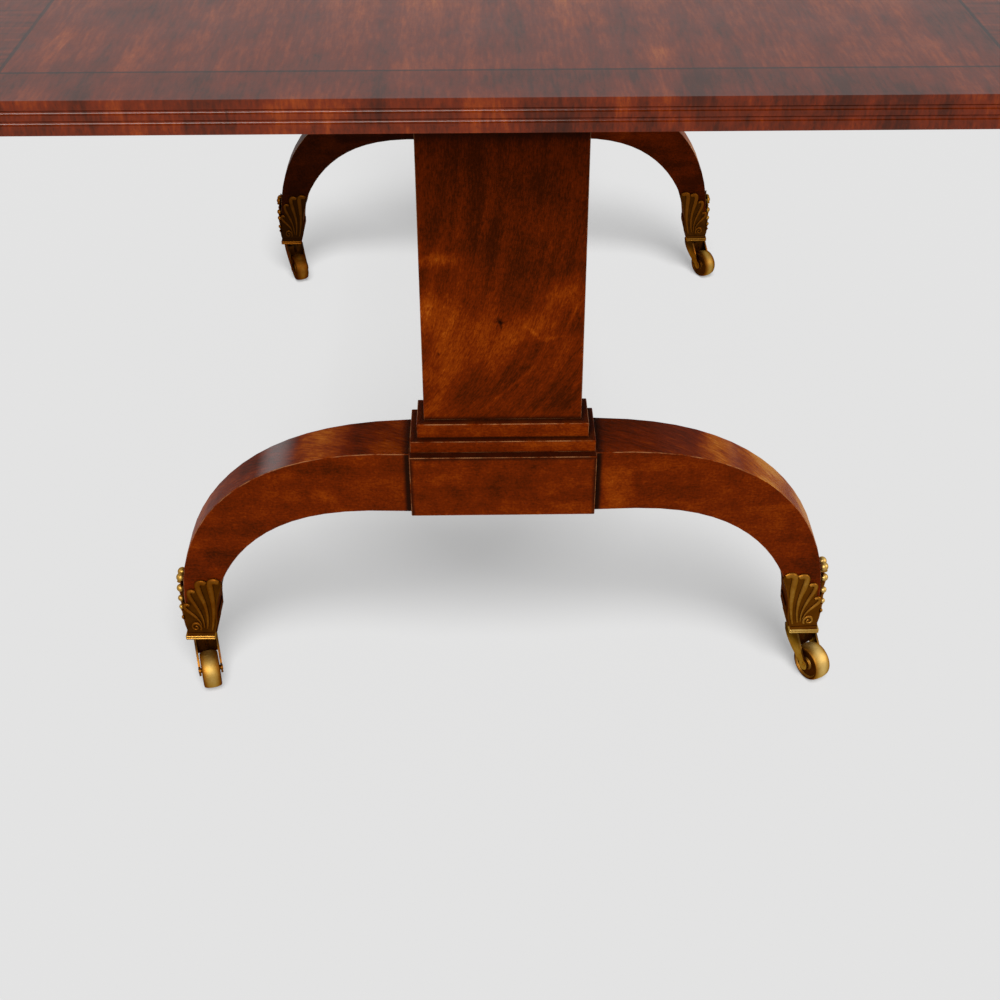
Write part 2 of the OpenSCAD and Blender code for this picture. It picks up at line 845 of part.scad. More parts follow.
module leg(end, side) {
    color(WOOD) at_end(end) at_side(side) difference() {
        union() {
            translate([support_x, 0, 0]) leg_body(0, foot_z);
            leg_dovetail();
        }
        translate([support_x, foot_y, foot_z - 1])
            cylinder(r = pintle_room, h = pintle_top + 2 - foot_z + 1);
    }
}

// The cups. Across and up are measured from the middle of the foot and the cup's bottom,
// with across growing outwards. A palmette springs from beside a scroll on each face, and
// its fronds swell and hook over inwards.

// Width of the foot and height of the cup that the face is sketched for
SKETCHED = [23.5, 78.5];
// Fronds: root, the stem's first handle, its second handle's drop, hook's middle and radius
SKETCH = [
    [[-13, 18], [-20, 42], 14, [-22, 71], 4.8],
    [[-8.4, 20], [-14.5, 42], 14, [-9.7, 69.4], 4.4],
    [[-5.6, 21], [-8, 36], 10, [1.3, 59.3], 3.3],
    [[-3.4, 23], [-3, 32], 5, [8, 42.4], 2.7]
];
grow = [foot_w / SKETCHED[0], cup_h / SKETCHED[1]];

function sized(p) = [p[0] * grow[0], p[1] * grow[1]];

FRONDS = [for (f = SKETCH) [sized(f[0]), sized(f[1]), f[2] * grow[1], sized(f[3]), f[4] * grow[1]]];
hook_turn = 135;
rim_w = 1.6;
cup_foot_h = 13;
scroll_at = sized([2.7, 20.8]);
scroll_r = 5 * grow[1];
scroll_turns = 1.5;

function swell(r) = r * 0.44;
function cubic(p, q, r, s, t) =
    pow(1 - t, 3) * p + 3 * pow(1 - t, 2) * t * q + 3 * (1 - t) * t * t * r + t * t * t * s;

// Middle line of a frond: a curved stem, then round its hook
function frond_line(f) = let (end = f[3] + [f[4], 0]) concat(
    [for (k = [0 : 9]) cubic(f[0], f[1], end - [0, f[2]], end, k / 10)],
    [for (a = [0 : 15 : hook_turn]) f[3] + f[4] * [cos(a), sin(a)]]
);

function across(v) = [-v[1], v[0]] / norm(v);

// Moves a line sideways by its own half width at each point
function beside(line, half, s) = let (last = len(line) - 1) [
    for (k = [0 : last])
        line[k] + s * half[k] * across(line[min(k + 1, last)] - line[max(k - 1, 0)])
];

// A line drawn as a strip with a round end, a little fatter than the strip
module strip(line, half) {
    polygon(concat(beside(line, half, 1), reversed(beside(line, half, -1))));
    translate(line[len(line) - 1]) circle(r = half[len(half) - 1] * 1.05);
}

module frond(f) {
    line = frond_line(f);
    last = len(line) - 1;
    strip(line, [for (k = [0 : last]) 0.5 + (swell(f[4]) - 0.5) * pow(k / last, 0.8)]);
}

module scroll() {
    steps = 24;
    strip([for (k = [0 : steps]) let (a = 215 - 360 * scroll_turns * k / steps)
               scroll_at + (scroll_r - (scroll_r - 0.9) * k / steps) * [cos(a), sin(a)]],
          [for (k = [0 : steps]) 0.85 - 0.25 * k / steps]);
}

// Outline of a cup's face: a lobe over each frond
module cup_front_outline() {
    last = len(FRONDS) - 1;
    intersection() {
        leg_outline(cup_wall);
        for (k = [0 : last]) {
            mid = FRONDS[k][3];
            r = FRONDS[k][4] + swell(FRONDS[k][4]) + 0.4;
            translate([foot_y, castor_h] + mid) circle(r = r);
            translate([foot_y + mid[0] - r - 0.5, castor_h - 1])
                square([k == last ? foot_w : 2 * r + 1, mid[1] + 1]);
        }
    }
}

module palmette() {
    for (f = FRONDS) frond(f);
    scroll();
}

// The raised face: the palmette, a foot under it and a rim up the inner edge
module cup_relief() {
    intersection() {
        cup_front_outline();
        union() {
            translate([foot_y, castor_h]) {
                palmette();
                translate([-foot_w, band_h - 1]) square([2 * foot_w, cup_foot_h - band_h + 1]);
            }
            difference() {
                translate([foot_y - 2 * foot_w, castor_h]) square([2 * foot_w, cup_h]);
                leg_outline(cup_wall - rim_w);
            }
        }
    }
}

// The band round a cup's bottom: two beads, mitred at the corners
module cup_band() {
    w = foot_w / 2 + cup_wall;
    bead_r = band_h / 4;
    for (k = [1, 3]) {
        z = castor_h + k * bead_r;
        for (s = [-1, 1]) {
            y = foot_y + s * (w + band_out - bead_r);
            half = half_t(foot_y) + cup_wall + band_out - bead_r;
            rod_x(y, z, bead_r, -half, half);
            rod_y(s * half, z, bead_r, foot_y - w - band_out + bead_r,
                  foot_y + w + band_out - bead_r);
            for (c = [-1, 1]) translate([c * half, y, z]) sphere(r = bead_r);
        }
    }
    span([-half_t(foot_y) - cup_wall - band_out / 2, foot_y - w - band_out / 2, castor_h],
         [half_t(foot_y) + cup_wall + band_out / 2, foot_y + w + band_out / 2, castor_h + band_h]);
}

// The leaf that climbs the outer side of a cup and rolls over away from the leg. Pairs of
// ribs swell into round lobes along its edges.

// Lobes of the leaf: along the table, share of the leaf's height, radius. Each is a pair.
LEAF_LOBES = [[7.2, 0.776, 3.2], [10.6, 0.56, 2.8], [12, 0.38, 2.3], [12.2, 0.25, 1.8]];
roll_r = 4.2;
roll_w = 13;
// Middle of the blade: share of the leaf's height, how far out from the foot
BLADE_LINE = [[0.02, 0.7], [0.14, 2.2], [0.28, 2.7], [0.42, 2.4], [0.6, 1.4], [0.78, 1.2], [0.95, 1]];

// A place on the blade: along the table, share of its height, how far proud of its middle
function on_blade(x, up, proud) = [
    x, foot_y + foot_w / 2 + lookup(up, BLADE_LINE) + proud, castor_h + leaf_h * up
];

// A rib that swells from one place to another and ends in a ball, a little fatter than it
module rib(from, to, r_from, r_ball) {
    way = to - from;
    translate(from) rotate([0, acos(way[2] / norm(way)), atan2(way[1], way[0])])
        cylinder(r1 = r_from, r2 = r_ball * 0.92, h = norm(way));
    translate(to) sphere(r = r_ball);
}

// The thin blade behind the ribs: it leans out, and it narrows under the roll
module blade() {
    intersection() {
        translate([-foot_w, 0, 0]) rotate([90, 0, 90]) linear_extrude(2 * foot_w) {
            line = [for (p = BLADE_LINE) let (q = on_blade(0, p[0], 0)) [q[1], q[2]]];
            strip(line, [for (p = line) blade_t / 2]);
        }
        translate([0, foot_y + 2 * foot_w, castor_h]) rotate([90, 0, 0])
            linear_extrude(4 * foot_w) polygon(concat(
                [[roll_w / 2, leaf_h], [-roll_w / 2, leaf_h]],
                [for (lobe = LEAF_LOBES) [-lobe[0], lobe[1] * leaf_h]],
                [[-half_t(foot_y) * 0.62, 0], [half_t(foot_y) * 0.62, 0]],
                reversed([for (lobe = LEAF_LOBES) [lobe[0], lobe[1] * leaf_h]])
            ));
    }
}

module curled_leaf() {
    blade();
    rib(on_blade(0, 0.08, 0.6), on_blade(0, 0.9, 0.8), 1.2, 2.4);
    for (s = [-1, 1], lobe = LEAF_LOBES)
        rib(on_blade(s * lobe[0] * 0.15, lobe[1] * 0.3, 0.6), on_blade(s * lobe[0], lobe[1], 0.8),
            0.8, lobe[2]);
    roll = on_blade(0, 0.95, 0);
    roll_z = castor_h + leaf_h - roll_r;
    half = roll_w * 0.2;
    rod_x(roll[1], roll_z, roll_r - 0.8, -roll_w / 2, roll_w / 2);
    for (x = [-roll_w / 4, roll_w / 4]) rod_x(roll[1], roll_z, roll_r, x - half, x + half);
}

// The plain tongue that covers the lower part of a cup's inner side
module tongue() {
    half = half_t(foot_y) * 0.72;
    translate([-half, 0, 0]) rotate([90, 0, 90]) linear_extrude(2 * half) intersection() {
        leg_outline(cup_wall + 1.4);
        translate([foot_y - 2 * foot_w, castor_h + band_h / 2])
            square([2 * foot_w - 1, cup_h * 0.42 - band_h / 2]);
    }
}

module cup() {
    wall_x = half_t(foot_y) + cup_wall;
    turn = atan(taper);
    difference() {
        union() {
            intersection() {
                translate([-arch_t, 0, 0]) rotate([90, 0, 90])
                    linear_extrude(2 * arch_t) cup_front_outline();
                linear_extrude(arch_top) leg_plan(cup_wall, foot_y - foot_w * 1.5, foot_y + foot_w);
            }
            for (s = [-1, 1])
                translate([s * (wall_x - 0.5), foot_y, 0]) rotate([0, 0, s * turn])
                    translate([s < 0 ? -relief : -0.5, -foot_y, 0]) rotate([90, 0, 90])
                        linear_extrude(relief + 0.5) cup_relief();
            cup_band();
            curled_leaf();
            tongue();
        }
        leg_body(0, foot_z);
        translate([0, foot_y, castor_h - 1]) cylinder(r = pintle_r + run_gap, h = cup_floor + 2);
    }
}

module cups() {
    color(BRASS) for (end = [LEFT, RIGHT], side = [FRONT, BACK])
        at_side(side) translate([end * support_x, 0, 0]) cup();
}

// The castors. Each is drawn trailing along +X from its pintle, then turned to rest.

crown_z = castor_h - 0.3;
fork_in = wheel_w / 2 + cheek_gap;
crown_r = fork_in + cheek_t + 0.2;
crown_t = 3.4;
boss_r = axle_r + 3;
// The neck reaches down until its front edge is neck_gap away from the wheel
neck_z = wheel_r + sqrt(max(0, pow(wheel_r + neck_gap, 2) - pow(trail - fork_in, 2)));

// How far each castor is turned from +X: end, side, angle
function castor_turn(end, side) = end > 0 ? (side < 0 ? 14 : 29) : (side < 0 ? 22 : 31);

module at_castor(end, side) {
    translate([end * support_x, side * foot_y, 0])
        rotate([0, 0, castor_turn(end, side)]) children();
}

// Side view of a cheek: from the crown it sweeps back to the boss round the axle
module cheek_outline() {
    top = crown_z - crown_t + eps;
    drop = top - wheel_r;
    front = -crown_r * 0.72;
    polygon(concat(
        [[crown_r * 0.8, top], [front, top]],
        [for (t = [0.15 : 0.17 : 1])
            [front + (trail - boss_r - front) * pow(t, 1.5), top - drop * pow(t, 0.75)]],
        [[trail - boss_r, wheel_r], [trail + boss_r, wheel_r]],
        [for (t = [0.2 : 0.2 : 0.8])
            [trail + boss_r - (trail + boss_r - crown_r * 0.8) * pow(t, 0.8), wheel_r + drop * t]]
    ));
    translate([trail, wheel_r]) circle(r = boss_r);
}

module swivel(end, side) {
    rivet_h = fork_in + cheek_t + 0.3;
    color(BRASS) at_castor(end, side) {
        translate([0, 0, crown_z - crown_t]) cylinder(r = crown_r, h = crown_t);
        rod_z(pintle_r, crown_z - eps, pintle_top);
        rod_z(fork_in + eps, neck_z, crown_z - crown_t + eps);
        for (s = [-1, 1])
            translate([0, s * (fork_in + cheek_t / 2) + cheek_t / 2, 0]) rotate([90, 0, 0])
                linear_extrude(cheek_t) cheek_outline();
        rod_y(trail, wheel_r, axle_r, -rivet_h, rivet_h);
    }
}

// A wheel: a barrel tread, dished sides and a hub
module wheel(end, side) {
    half = wheel_w / 2;
    crown = wheel_r * 0.14;
    hub_r = axle_r + 3.5;
    dish = 2.2;
    rim_in = wheel_r * 0.74;
    rim_out = wheel_r * 0.8;
    color(BRASS) at_castor(end, side) translate([trail, 0, wheel_r]) rotate([90, 0, 0])
        rotate_extrude() polygon(concat(
            [[axle_r + run_gap, -half], [hub_r, -half], [hub_r + 1, dish - half],
             [rim_in, dish - half], [rim_out, -half]],
            [for (a = [-75 : 15 : 75]) [wheel_r - crown * (1 - cos(a)), half * sin(a)]],
            [[rim_out, half], [rim_in, half - dish], [hub_r + 1, half - dish], [hub_r, half],
             [axle_r + run_gap, half]]
        ));
}

top_board();
flap(LEFT);  // flap_left
flap(RIGHT);  // flap_right
hinge_plates();
hinge_straps(LEFT);  // hinge_straps_left
hinge_straps(RIGHT);  // hinge_straps_right
hinge_pins();
end_rail(LEFT);  // end_rail_left
end_rail(RIGHT);  // end_rail_right
corner_posts();
back_rail();
drawer_rail(under_z - rail_t);  // top_rail
drawer_rail(frieze_z);  // bottom_rail
partition();
runners();
dummy_front(LEFT);  // dummy_front_left
dummy_front(RIGHT);  // dummy_front_right
dummy_beads();
dummy_knobs();
drawer_front(LEFT);  // drawer_front_left
drawer_sides(LEFT);  // drawer_sides_left
drawer_back(LEFT);  // drawer_back_left
drawer_bottom(LEFT);  // drawer_bottom_left
drawer_bead(LEFT);  // drawer_bead_left
drawer_knobs(LEFT);  // drawer_knobs_left
drawer_front(RIGHT);  // drawer_front_right
drawer_sides(RIGHT);  // drawer_sides_right
drawer_back(RIGHT);  // drawer_back_right
drawer_bottom(RIGHT);  // drawer_bottom_right
drawer_bead(RIGHT);  // drawer_bead_right
drawer_knobs(RIGHT);  // drawer_knobs_right
fly_block(LEFT);  // fly_block_left
fly_block(RIGHT);  // fly_block_right
fly_bracket(LEFT, FRONT);  // fly_bracket_left_front
fly_bracket(LEFT, BACK);  // fly_bracket_left_back
fly_bracket(RIGHT, FRONT);  // fly_bracket_right_front
fly_bracket(RIGHT, BACK);  // fly_bracket_right_back
bracket_pins();
bearer(LEFT);  // bearer_left
bearer(RIGHT);  // bearer_right
column(LEFT);  // column_left
column(RIGHT);  // column_right
plinth(LEFT);  // plinth_left
plinth(RIGHT);  // plinth_right
block(LEFT);  // block_left
block(RIGHT);  // block_right
leg(LEFT, FRONT);  // leg_left_front
leg(LEFT, BACK);  // leg_left_back
leg(RIGHT, FRONT);  // leg_right_front
leg(RIGHT, BACK);  // leg_right_back
stretcher();
cups();
swivel(LEFT, FRONT);  // swivel_left_front
swivel(LEFT, BACK);  // swivel_left_back
swivel(RIGHT, FRONT);  // swivel_right_front
swivel(RIGHT, BACK);  // swivel_right_back
wheel(LEFT, FRONT);  // wheel_left_front
wheel(LEFT, BACK);  // wheel_left_back
wheel(RIGHT, FRONT);  // wheel_right_front
wheel(RIGHT, BACK);  // wheel_right_back
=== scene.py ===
import json
from math import cos, radians, sin

import bmesh
import bpy
from mathutils import Matrix, Vector
from mathutils.geometry import interpolate_bezier

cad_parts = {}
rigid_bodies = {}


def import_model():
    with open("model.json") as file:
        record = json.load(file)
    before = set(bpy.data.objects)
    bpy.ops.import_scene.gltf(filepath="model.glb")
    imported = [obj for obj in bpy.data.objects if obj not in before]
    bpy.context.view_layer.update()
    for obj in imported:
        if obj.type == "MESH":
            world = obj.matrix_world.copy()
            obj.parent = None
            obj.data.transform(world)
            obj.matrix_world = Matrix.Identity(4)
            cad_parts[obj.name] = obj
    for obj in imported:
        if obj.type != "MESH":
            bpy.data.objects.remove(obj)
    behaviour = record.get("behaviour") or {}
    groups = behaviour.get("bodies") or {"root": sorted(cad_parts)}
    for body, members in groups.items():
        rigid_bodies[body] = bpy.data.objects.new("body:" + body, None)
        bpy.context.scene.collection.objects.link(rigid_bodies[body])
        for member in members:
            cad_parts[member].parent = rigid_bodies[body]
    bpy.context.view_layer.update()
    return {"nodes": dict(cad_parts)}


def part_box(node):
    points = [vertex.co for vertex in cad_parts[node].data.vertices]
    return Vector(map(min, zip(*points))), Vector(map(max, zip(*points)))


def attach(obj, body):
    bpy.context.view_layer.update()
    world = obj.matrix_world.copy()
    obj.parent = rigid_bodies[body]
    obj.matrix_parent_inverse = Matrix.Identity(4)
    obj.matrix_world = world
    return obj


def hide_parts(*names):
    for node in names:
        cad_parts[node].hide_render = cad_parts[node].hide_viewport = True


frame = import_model()

# The view
# One end of the table from above, through a normal lens, as a person sees it standing
# two paces away.
EYE = Vector((1.4755, -0.0150, 1.0043))
LOOK_DOWN = radians(37.17)
LOOK_ASIDE = radians(-0.69)
TILT = radians(0.15)
LENS_MM = 50.4
scene = bpy.context.scene
scene.view_settings.view_transform = "Standard"
camera = bpy.data.objects.new("camera", bpy.data.cameras.new("camera"))
camera.data.sensor_width = 36
camera.data.lens = LENS_MM
camera.matrix_world = (
    Matrix.Translation(EYE)
    @ Matrix.Rotation(radians(90) + LOOK_ASIDE, 4, "Z")
    @ Matrix.Rotation(radians(90) - LOOK_DOWN, 4, "X")
    @ Matrix.Rotation(-TILT, 4, "Z")
)
scene.collection.objects.link(camera)
scene.camera = camera


# The blocks
# Each support stands on a block of Cuban mahogany, veneered on its faces. It was shellacked
# and waxed for years, so its corners are rubbed pale, and its joints are darkened with
# painted shade.

# The share of a soft oval's radius inside which it is full
PATCH_CORE = 0.15


class Value:
    """A number, place or colour at each point of a surface. Sums on it add their nodes."""

    def __init__(self, tree, socket):
        self.tree = tree
        self.socket = socket

    def node(self, kind, settings, sockets, out=0):
        """Adds a node: its settings first, then the values or links of its sockets."""
        made = self.tree.nodes.new("ShaderNode" + kind)
        for name, value in settings.items():
            if name == "stops":
                ramp = made.color_ramp.elements
                ramp.remove(ramp[1])
                ramp[0].position = value[0][0]
                ramp[0].color = (*value[0][1], 1)
                for stop, colour in value[1:]:
                    ramp.new(stop).color = (*colour, 1)
            else:
                setattr(made, name, value)
        for key, value in sockets.items():
            socket = made.inputs[key]
            if isinstance(value, Value):
                self.tree.links.new(value.socket, socket)
            elif socket.type == "RGBA":
                socket.default_value = (*value, 1)
            else:
                socket.default_value = value
        return Value(self.tree, made.outputs[out])

    def maths(self, operation, *values):
        return self.node("Math", {"operation": operation}, dict(enumerate(values)))

    def __add__(self, other):
        return self.maths("ADD", self, other)

    def __radd__(self, other):
        return self.maths("ADD", other, self)

    def __sub__(self, other):
        return self.maths("SUBTRACT", self, other)

    def __rsub__(self, other):
        return self.maths("SUBTRACT", other, self)

    def __mul__(self, other):
        return self.maths("MULTIPLY", self, other)

    def __rmul__(self, other):
        return self.maths("MULTIPLY", other, self)

    def __abs__(self):
        return self.maths("ABSOLUTE", self)

    def most(self, other):
        return self.maths("MAXIMUM", self, other)

    def exp(self):
        return self.maths("EXPONENT", self)

    def split(self):
        """The three parts of a place."""
        parts = self.node("SeparateXYZ", {}, {0: self}).socket.node.outputs
        return [Value(self.tree, part) for part in parts]

    def rise(self, low, high):
        """0 up to low and 1 from high on, with a smooth step between them."""
        sockets = {"Value": self, "From Min": low, "From Max": high}
        return self.node("MapRange", {"interpolation_type": "SMOOTHSTEP"}, sockets)

    def noise(self, size, detail=2.0, rough=0.5):
        """Cloudy noise whose spots have the given size, one for each direction."""
        spread = self.node("Mapping", {"vector_type": "TEXTURE"}, {"Vector": self, "Scale": size})
        sockets = {"Vector": spread, "Scale": 1.0, "Detail": detail, "Roughness": rough}
        return self.node("TexNoise", {}, sockets)

    def patch(self, middle, size, turn=0.0):
        """1 in the middle of a soft oval and 0 outside it. turn leans it in the Y-Z plane."""
        sockets = {"Vector": self, "Location": middle, "Rotation": (turn, 0, 0), "Scale": size}
        spread = self.node("Mapping", {"vector_type": "TEXTURE"}, sockets)
        length = spread.node("VectorMath", {"operation": "LENGTH"}, {0: spread}, 1)
        return 1 - length.rise(PATCH_CORE, 1)

    def colour(self, stops):
        return self.node("ValToRGB", {"stops": stops}, {0: self})

    def tint(self, other, share):
        """This colour with a share of another one."""
        return self.node("Mix", {"data_type": "RGBA"}, {0: share, 6: self, 7: other}, 2)


def new_material(name):
    """A material, the place on the surface that it reads, and its shader."""
    material = bpy.data.materials.new(name)
    material.use_nodes = True
    tree = material.node_tree
    place = tree.nodes.new("ShaderNodeTexCoord").outputs["Object"]
    return material, Value(tree, place), tree.nodes["Principled BSDF"]


MAHOGANY = [
    (0.0, (0.011, 0.0018, 0.0004)),
    (0.3, (0.05, 0.007, 0.0006)),
    (0.5, (0.131, 0.0148, 0.0008)),
    (0.68, (0.24, 0.038, 0.0016)),
    (0.85, (0.42, 0.105, 0.008)),
    (1.0, (0.6, 0.24, 0.04)),
]
RUBBED = (0.42, 0.19, 0.075)
PAINTED_SHADE_COLOUR = (0.008, 0.003, 0.0015)
PORE_COLOUR = (0.02, 0.004, 0.001)
# The sizes of the wood's specks, of its pores and dark veins across, along and through the
# grain, of how its figure wanders, and of the patches where its polish is rubbed or smeared
SPECK = (0.0022, 0.0022, 0.0022)
PORE = (0.0005, 0.0045, 0.002)
VEIN = (0.012, 0.035, 0.02)
WANDER = (0.03, 0.03, 0.03)
RUB_SIZE = (0.02, 0.02, 0.02)
SMEAR_SIZE = (0.04, 0.04, 0.04)


# Each turns a place into its parts across, along and through a grain that runs that way
def along_y(x, y, z):
    return z, y, x


def along_x(x, y, z):
    return y, x, z


def along_z(x, y, z):
    return y, z, x


def mahogany(name, grain, tone=0.5, figure=0.5, dash=0.25, mottle=0.12, patches=(), painted_shade=None,
             gloss=0.0, sheen=(), wear=0.8, streak=(0.016, 0.17), cloud=0.05,
             fleck=(0.0026, 0.019), veins=0.0, bend=0.045, border=None):
    """Polished mahogany. grain turns a place into its parts across, along and through the
    grain. figure, dash, mottle and veins are the strengths of its streaks and clouds, its
    flecks, its specks and its dark veins. A patch is the middle, size, lean and strength of a
    lighter or darker cloud, or in sheen of thicker polish. painted_shade turns a place into
    the share of painted shade on it, in its corners and joints, and border into those of a
    band with its grain turned across, of the whole border and of the line inside it."""
    material, place, shader = new_material(name)
    across, along, through = grain(*place.split())
    wood = place.node("CombineXYZ", {}, {0: across, 1: along, 2: through})
    shade = wood.noise((*streak, 0.03), 3.0) - 0.5
    clouds = place.noise((cloud, cloud, cloud), 2.0) - 0.5
    dashes = wood.noise((*fleck, 0.01), 2.0, 0.6) - 0.5
    pepper = place.noise(SPECK, 2.0, 0.7) - 0.5
    warp = place.noise(WANDER, 3.0, 0.6) - 0.5
    light = tone + shade * figure + clouds * figure * 0.8 + dashes * dash + pepper * mottle
    bent = place.node("VectorMath", {"operation": "ADD"}, {
        0: place, 1: place.node("CombineXYZ", {}, {1: warp * bend, 2: warp * (bend * 0.7)})})
    for middle, size, lean, strength in patches:
        light = light + bent.patch(middle, size, lean) * strength
    if veins:
        line = abs(wood.noise(VEIN, 3.0, 0.65) - 0.5).rise(0.022, 0.0)
        light = light - line * place.noise(WANDER, 1.0).rise(0.4, 0.65) * veins
    if border:
        banded, edge, line = border(*place.split())
        turned = place.node("CombineXYZ", {}, {0: along, 1: across, 2: through})
        crossed = tone + (turned.noise((0.005, 0.06, 0.03), 3.0) - 0.5) * figure + dashes * dash
        light = light + (crossed - light) * banded - edge * 0.07 - line * 0.35
    base = light.colour(MAHOGANY)
    pores = wood.noise(PORE, 1.0).rise(0.64, 0.72)
    base = base.tint(PORE_COLOUR, pores * 0.45)
    worn = place.node("Attribute", {"attribute_name": "worn"}, {}, 2)
    rub = worn * place.noise(RUB_SIZE, 3.0, 0.7).rise(0.36, 0.62) * wear
    base = base.tint(RUBBED, rub)
    # Painted shade: the colour is darkened in corners and joints where shade falls, less on
    # rubbed edges
    if painted_shade:
        base = base.tint(PAINTED_SHADE_COLOUR, painted_shade(*place.split()) * (1 - worn * 0.85))
    smear = place.noise(SMEAR_SIZE, 3.0, 0.6)
    tree = material.node_tree
    tree.links.new(base.socket, shader.inputs["Base Color"])
    tree.links.new((0.36 + smear * 0.2).socket, shader.inputs["Roughness"])
    dent = place.node("Bump", {}, {
        "Strength": 0.25, "Distance": 0.0002,
        "Height": pores * -0.5 + place.noise((0.012, 0.012, 0.012), 1.0) * 2.0})
    tree.links.new(dent.socket, shader.inputs["Normal"])
    shader.inputs["Specular IOR Level"].default_value = 0.035
    shader.inputs["Specular Tint"].default_value = (1.0, 0.4, 0.15, 1)
    shader.inputs["Coat Weight"].default_value = gloss
    shader.inputs["Coat Roughness"].default_value = 0.16
    if sheen:
        coat = gloss + smear * 0.02
        for middle, size, lean, strength in sheen:
            coat = coat + place.patch(middle, size, lean) * strength
        tree.links.new(coat.socket, shader.inputs["Coat Weight"])
    return material


MERGE = 1e-5
FLAT = radians(1)
SMOOTH = radians(18)
CORNER = radians(35)


def planed(node, arris=0.0007):
    """A copy of a solid with its triangles joined and its sharp corners eased. The middle of
    each easing is marked as worn."""
    work = bmesh.new()
    work.from_mesh(frame["nodes"][node].data)
    bmesh.ops.remove_doubles(work, verts=work.verts, dist=MERGE)
    bmesh.ops.dissolve_limit(work, angle_limit=FLAT, verts=work.verts, edges=work.edges)
    worn = work.verts.layers.float.new("worn")
    if arris:
        corners = [e for e in work.edges if e.is_manifold and e.is_convex
                   and e.calc_face_angle() > CORNER]
        eased = bmesh.ops.bevel(work, geom=corners, offset=arris, offset_type="OFFSET",
                                segments=2, profile=0.5, affect="EDGES", material=-1,
                                clamp_overlap=True)
        fresh = set(eased["faces"])
        for vert in work.verts:
            vert[worn] = float(all(face in fresh for face in vert.link_faces))
    return work


def finished(work, name, body, materials, stands_for=()):
    """Makes a piece from a bmesh: smooth where it curves, dressed, and fixed to its body."""
    for face in work.faces:
        face.smooth = True
    for edge in work.edges:
        edge.smooth = edge.is_manifold and edge.calc_face_angle() < SMOOTH
    mesh = bpy.data.meshes.new(name)
    work.to_mesh(mesh)
    work.free()
    for material in materials:
        mesh.materials.append(material)
    piece = bpy.data.objects.new(name, mesh)
    scene.collection.objects.link(piece)
    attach(piece, body)
    if stands_for:
        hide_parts(*stands_for)
    return piece


ENDS = {"left": -1, "right": 1}
SIDES = {"front": -1, "back": 1}
block_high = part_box("block_right")[1]
block_y = block_high.y
block_top = block_high.z


def shade_at_block_ends(x, y, z):
    """Painted shade in the joint between a block and its legs, and along the plinth."""
    joint = (block_y - abs(y)).rise(0.0045, 0.001)
    seat = (block_top - z).rise(0.005, 0.001)
    return joint.most(seat) * 0.75


block_wood = mahogany(
    "block_veneer", along_y, 0.49, 0.4, 0.2, 0.34, painted_shade=shade_at_block_ends, cloud=0.016,
    fleck=(0.0016, 0.006), veins=0.06, wear=1.0, patches=[
        ((0, 0.055, 0.245), (1, 0.04, 0.03), 0.1, 0.05),
        ((0, -0.06, 0.26), (1, 0.035, 0.02), 0.2, 0.04),
        ((0, 0.0, 0.255), (1, 0.03, 0.03), 0, -0.05),
    ])
for end in ENDS:
    finished(planed("block_" + end, 0.0009), "block_" + end + "_veneered", "table",
             [block_wood], ["block_" + end])


# The arched legs
# Sawn from solid mahogany, dovetailed into the block, with a strip of flamed veneer bent over
# the outer curve. The polish is thick on that strip, and its corners are rubbed through.

# The legs of the far support are darkened with painted shade
FAR_SHADE = {("left", "front"): -0.4, ("left", "back"): -0.1}
# Where the strip of the outer curve lies: how level or how upright its faces are, how far
# they may lean to the sides, and the height of the foot under it
STRIP_LEVEL = 0.04
STRIP_UPRIGHT = 0.5
STRIP_LEAN = 0.6
STRIP_FOOT = 0.1


def leg_wood(end, side):
    """The wood of a leg, with the clouds of its face."""
    if side == "front":
        clouds = [
            ((0, -0.2, 0.256), (1, 0.02, 0.012), 0.6, 0.16),
            ((0, -0.163, 0.236), (1, 0.02, 0.018), 0.8, 0.18),
            ((0, -0.18, 0.238), (1, 0.012, 0.03), 0.9, -0.08),
            ((0, -0.112, 0.252), (1, 0.03, 0.03), 0, 0.03),
            ((0, -0.235, 0.215), (1, 0.03, 0.02), 0.7, 0.06),
            ((0, -0.262, 0.165), (1, 0.03, 0.05), 0.5, -0.1),
            ((0, -0.295, 0.13), (1, 0.03, 0.04), 0, -0.06),
        ]
    else:
        clouds = [
            ((0, 0.105, 0.244), (1, 0.024, 0.036), 0, 0.32),
            ((0, 0.178, 0.222), (1, 0.03, 0.013), -0.1, 0.16),
            ((0, 0.232, 0.225), (1, 0.03, 0.02), -0.7, 0.08),
            ((0, 0.15, 0.25), (1, 0.04, 0.02), -0.2, 0.05),
            ((0, 0.2, 0.235), (1, 0.05, 0.02), -0.45, 0.09),
            ((0, 0.25, 0.2), (1, 0.04, 0.03), -0.9, 0.06),
            ((0, 0.298, 0.14), (1, 0.04, 0.06), 0, -0.12),
        ]
    tone = 0.465 + FAR_SHADE.get((end, side), 0)
    return mahogany("leg_" + end + "_" + side + "_wood", along_y, tone, 0.36, 0.26, 0.34,
                    patches=clouds, cloud=0.028, fleck=(0.0014, 0.006), veins=0.05,
                    # Painted shade in the joint against the block
                    painted_shade=lambda x, y, z: (abs(y) - block_y).rise(0.0075, 0.003) * 0.95)


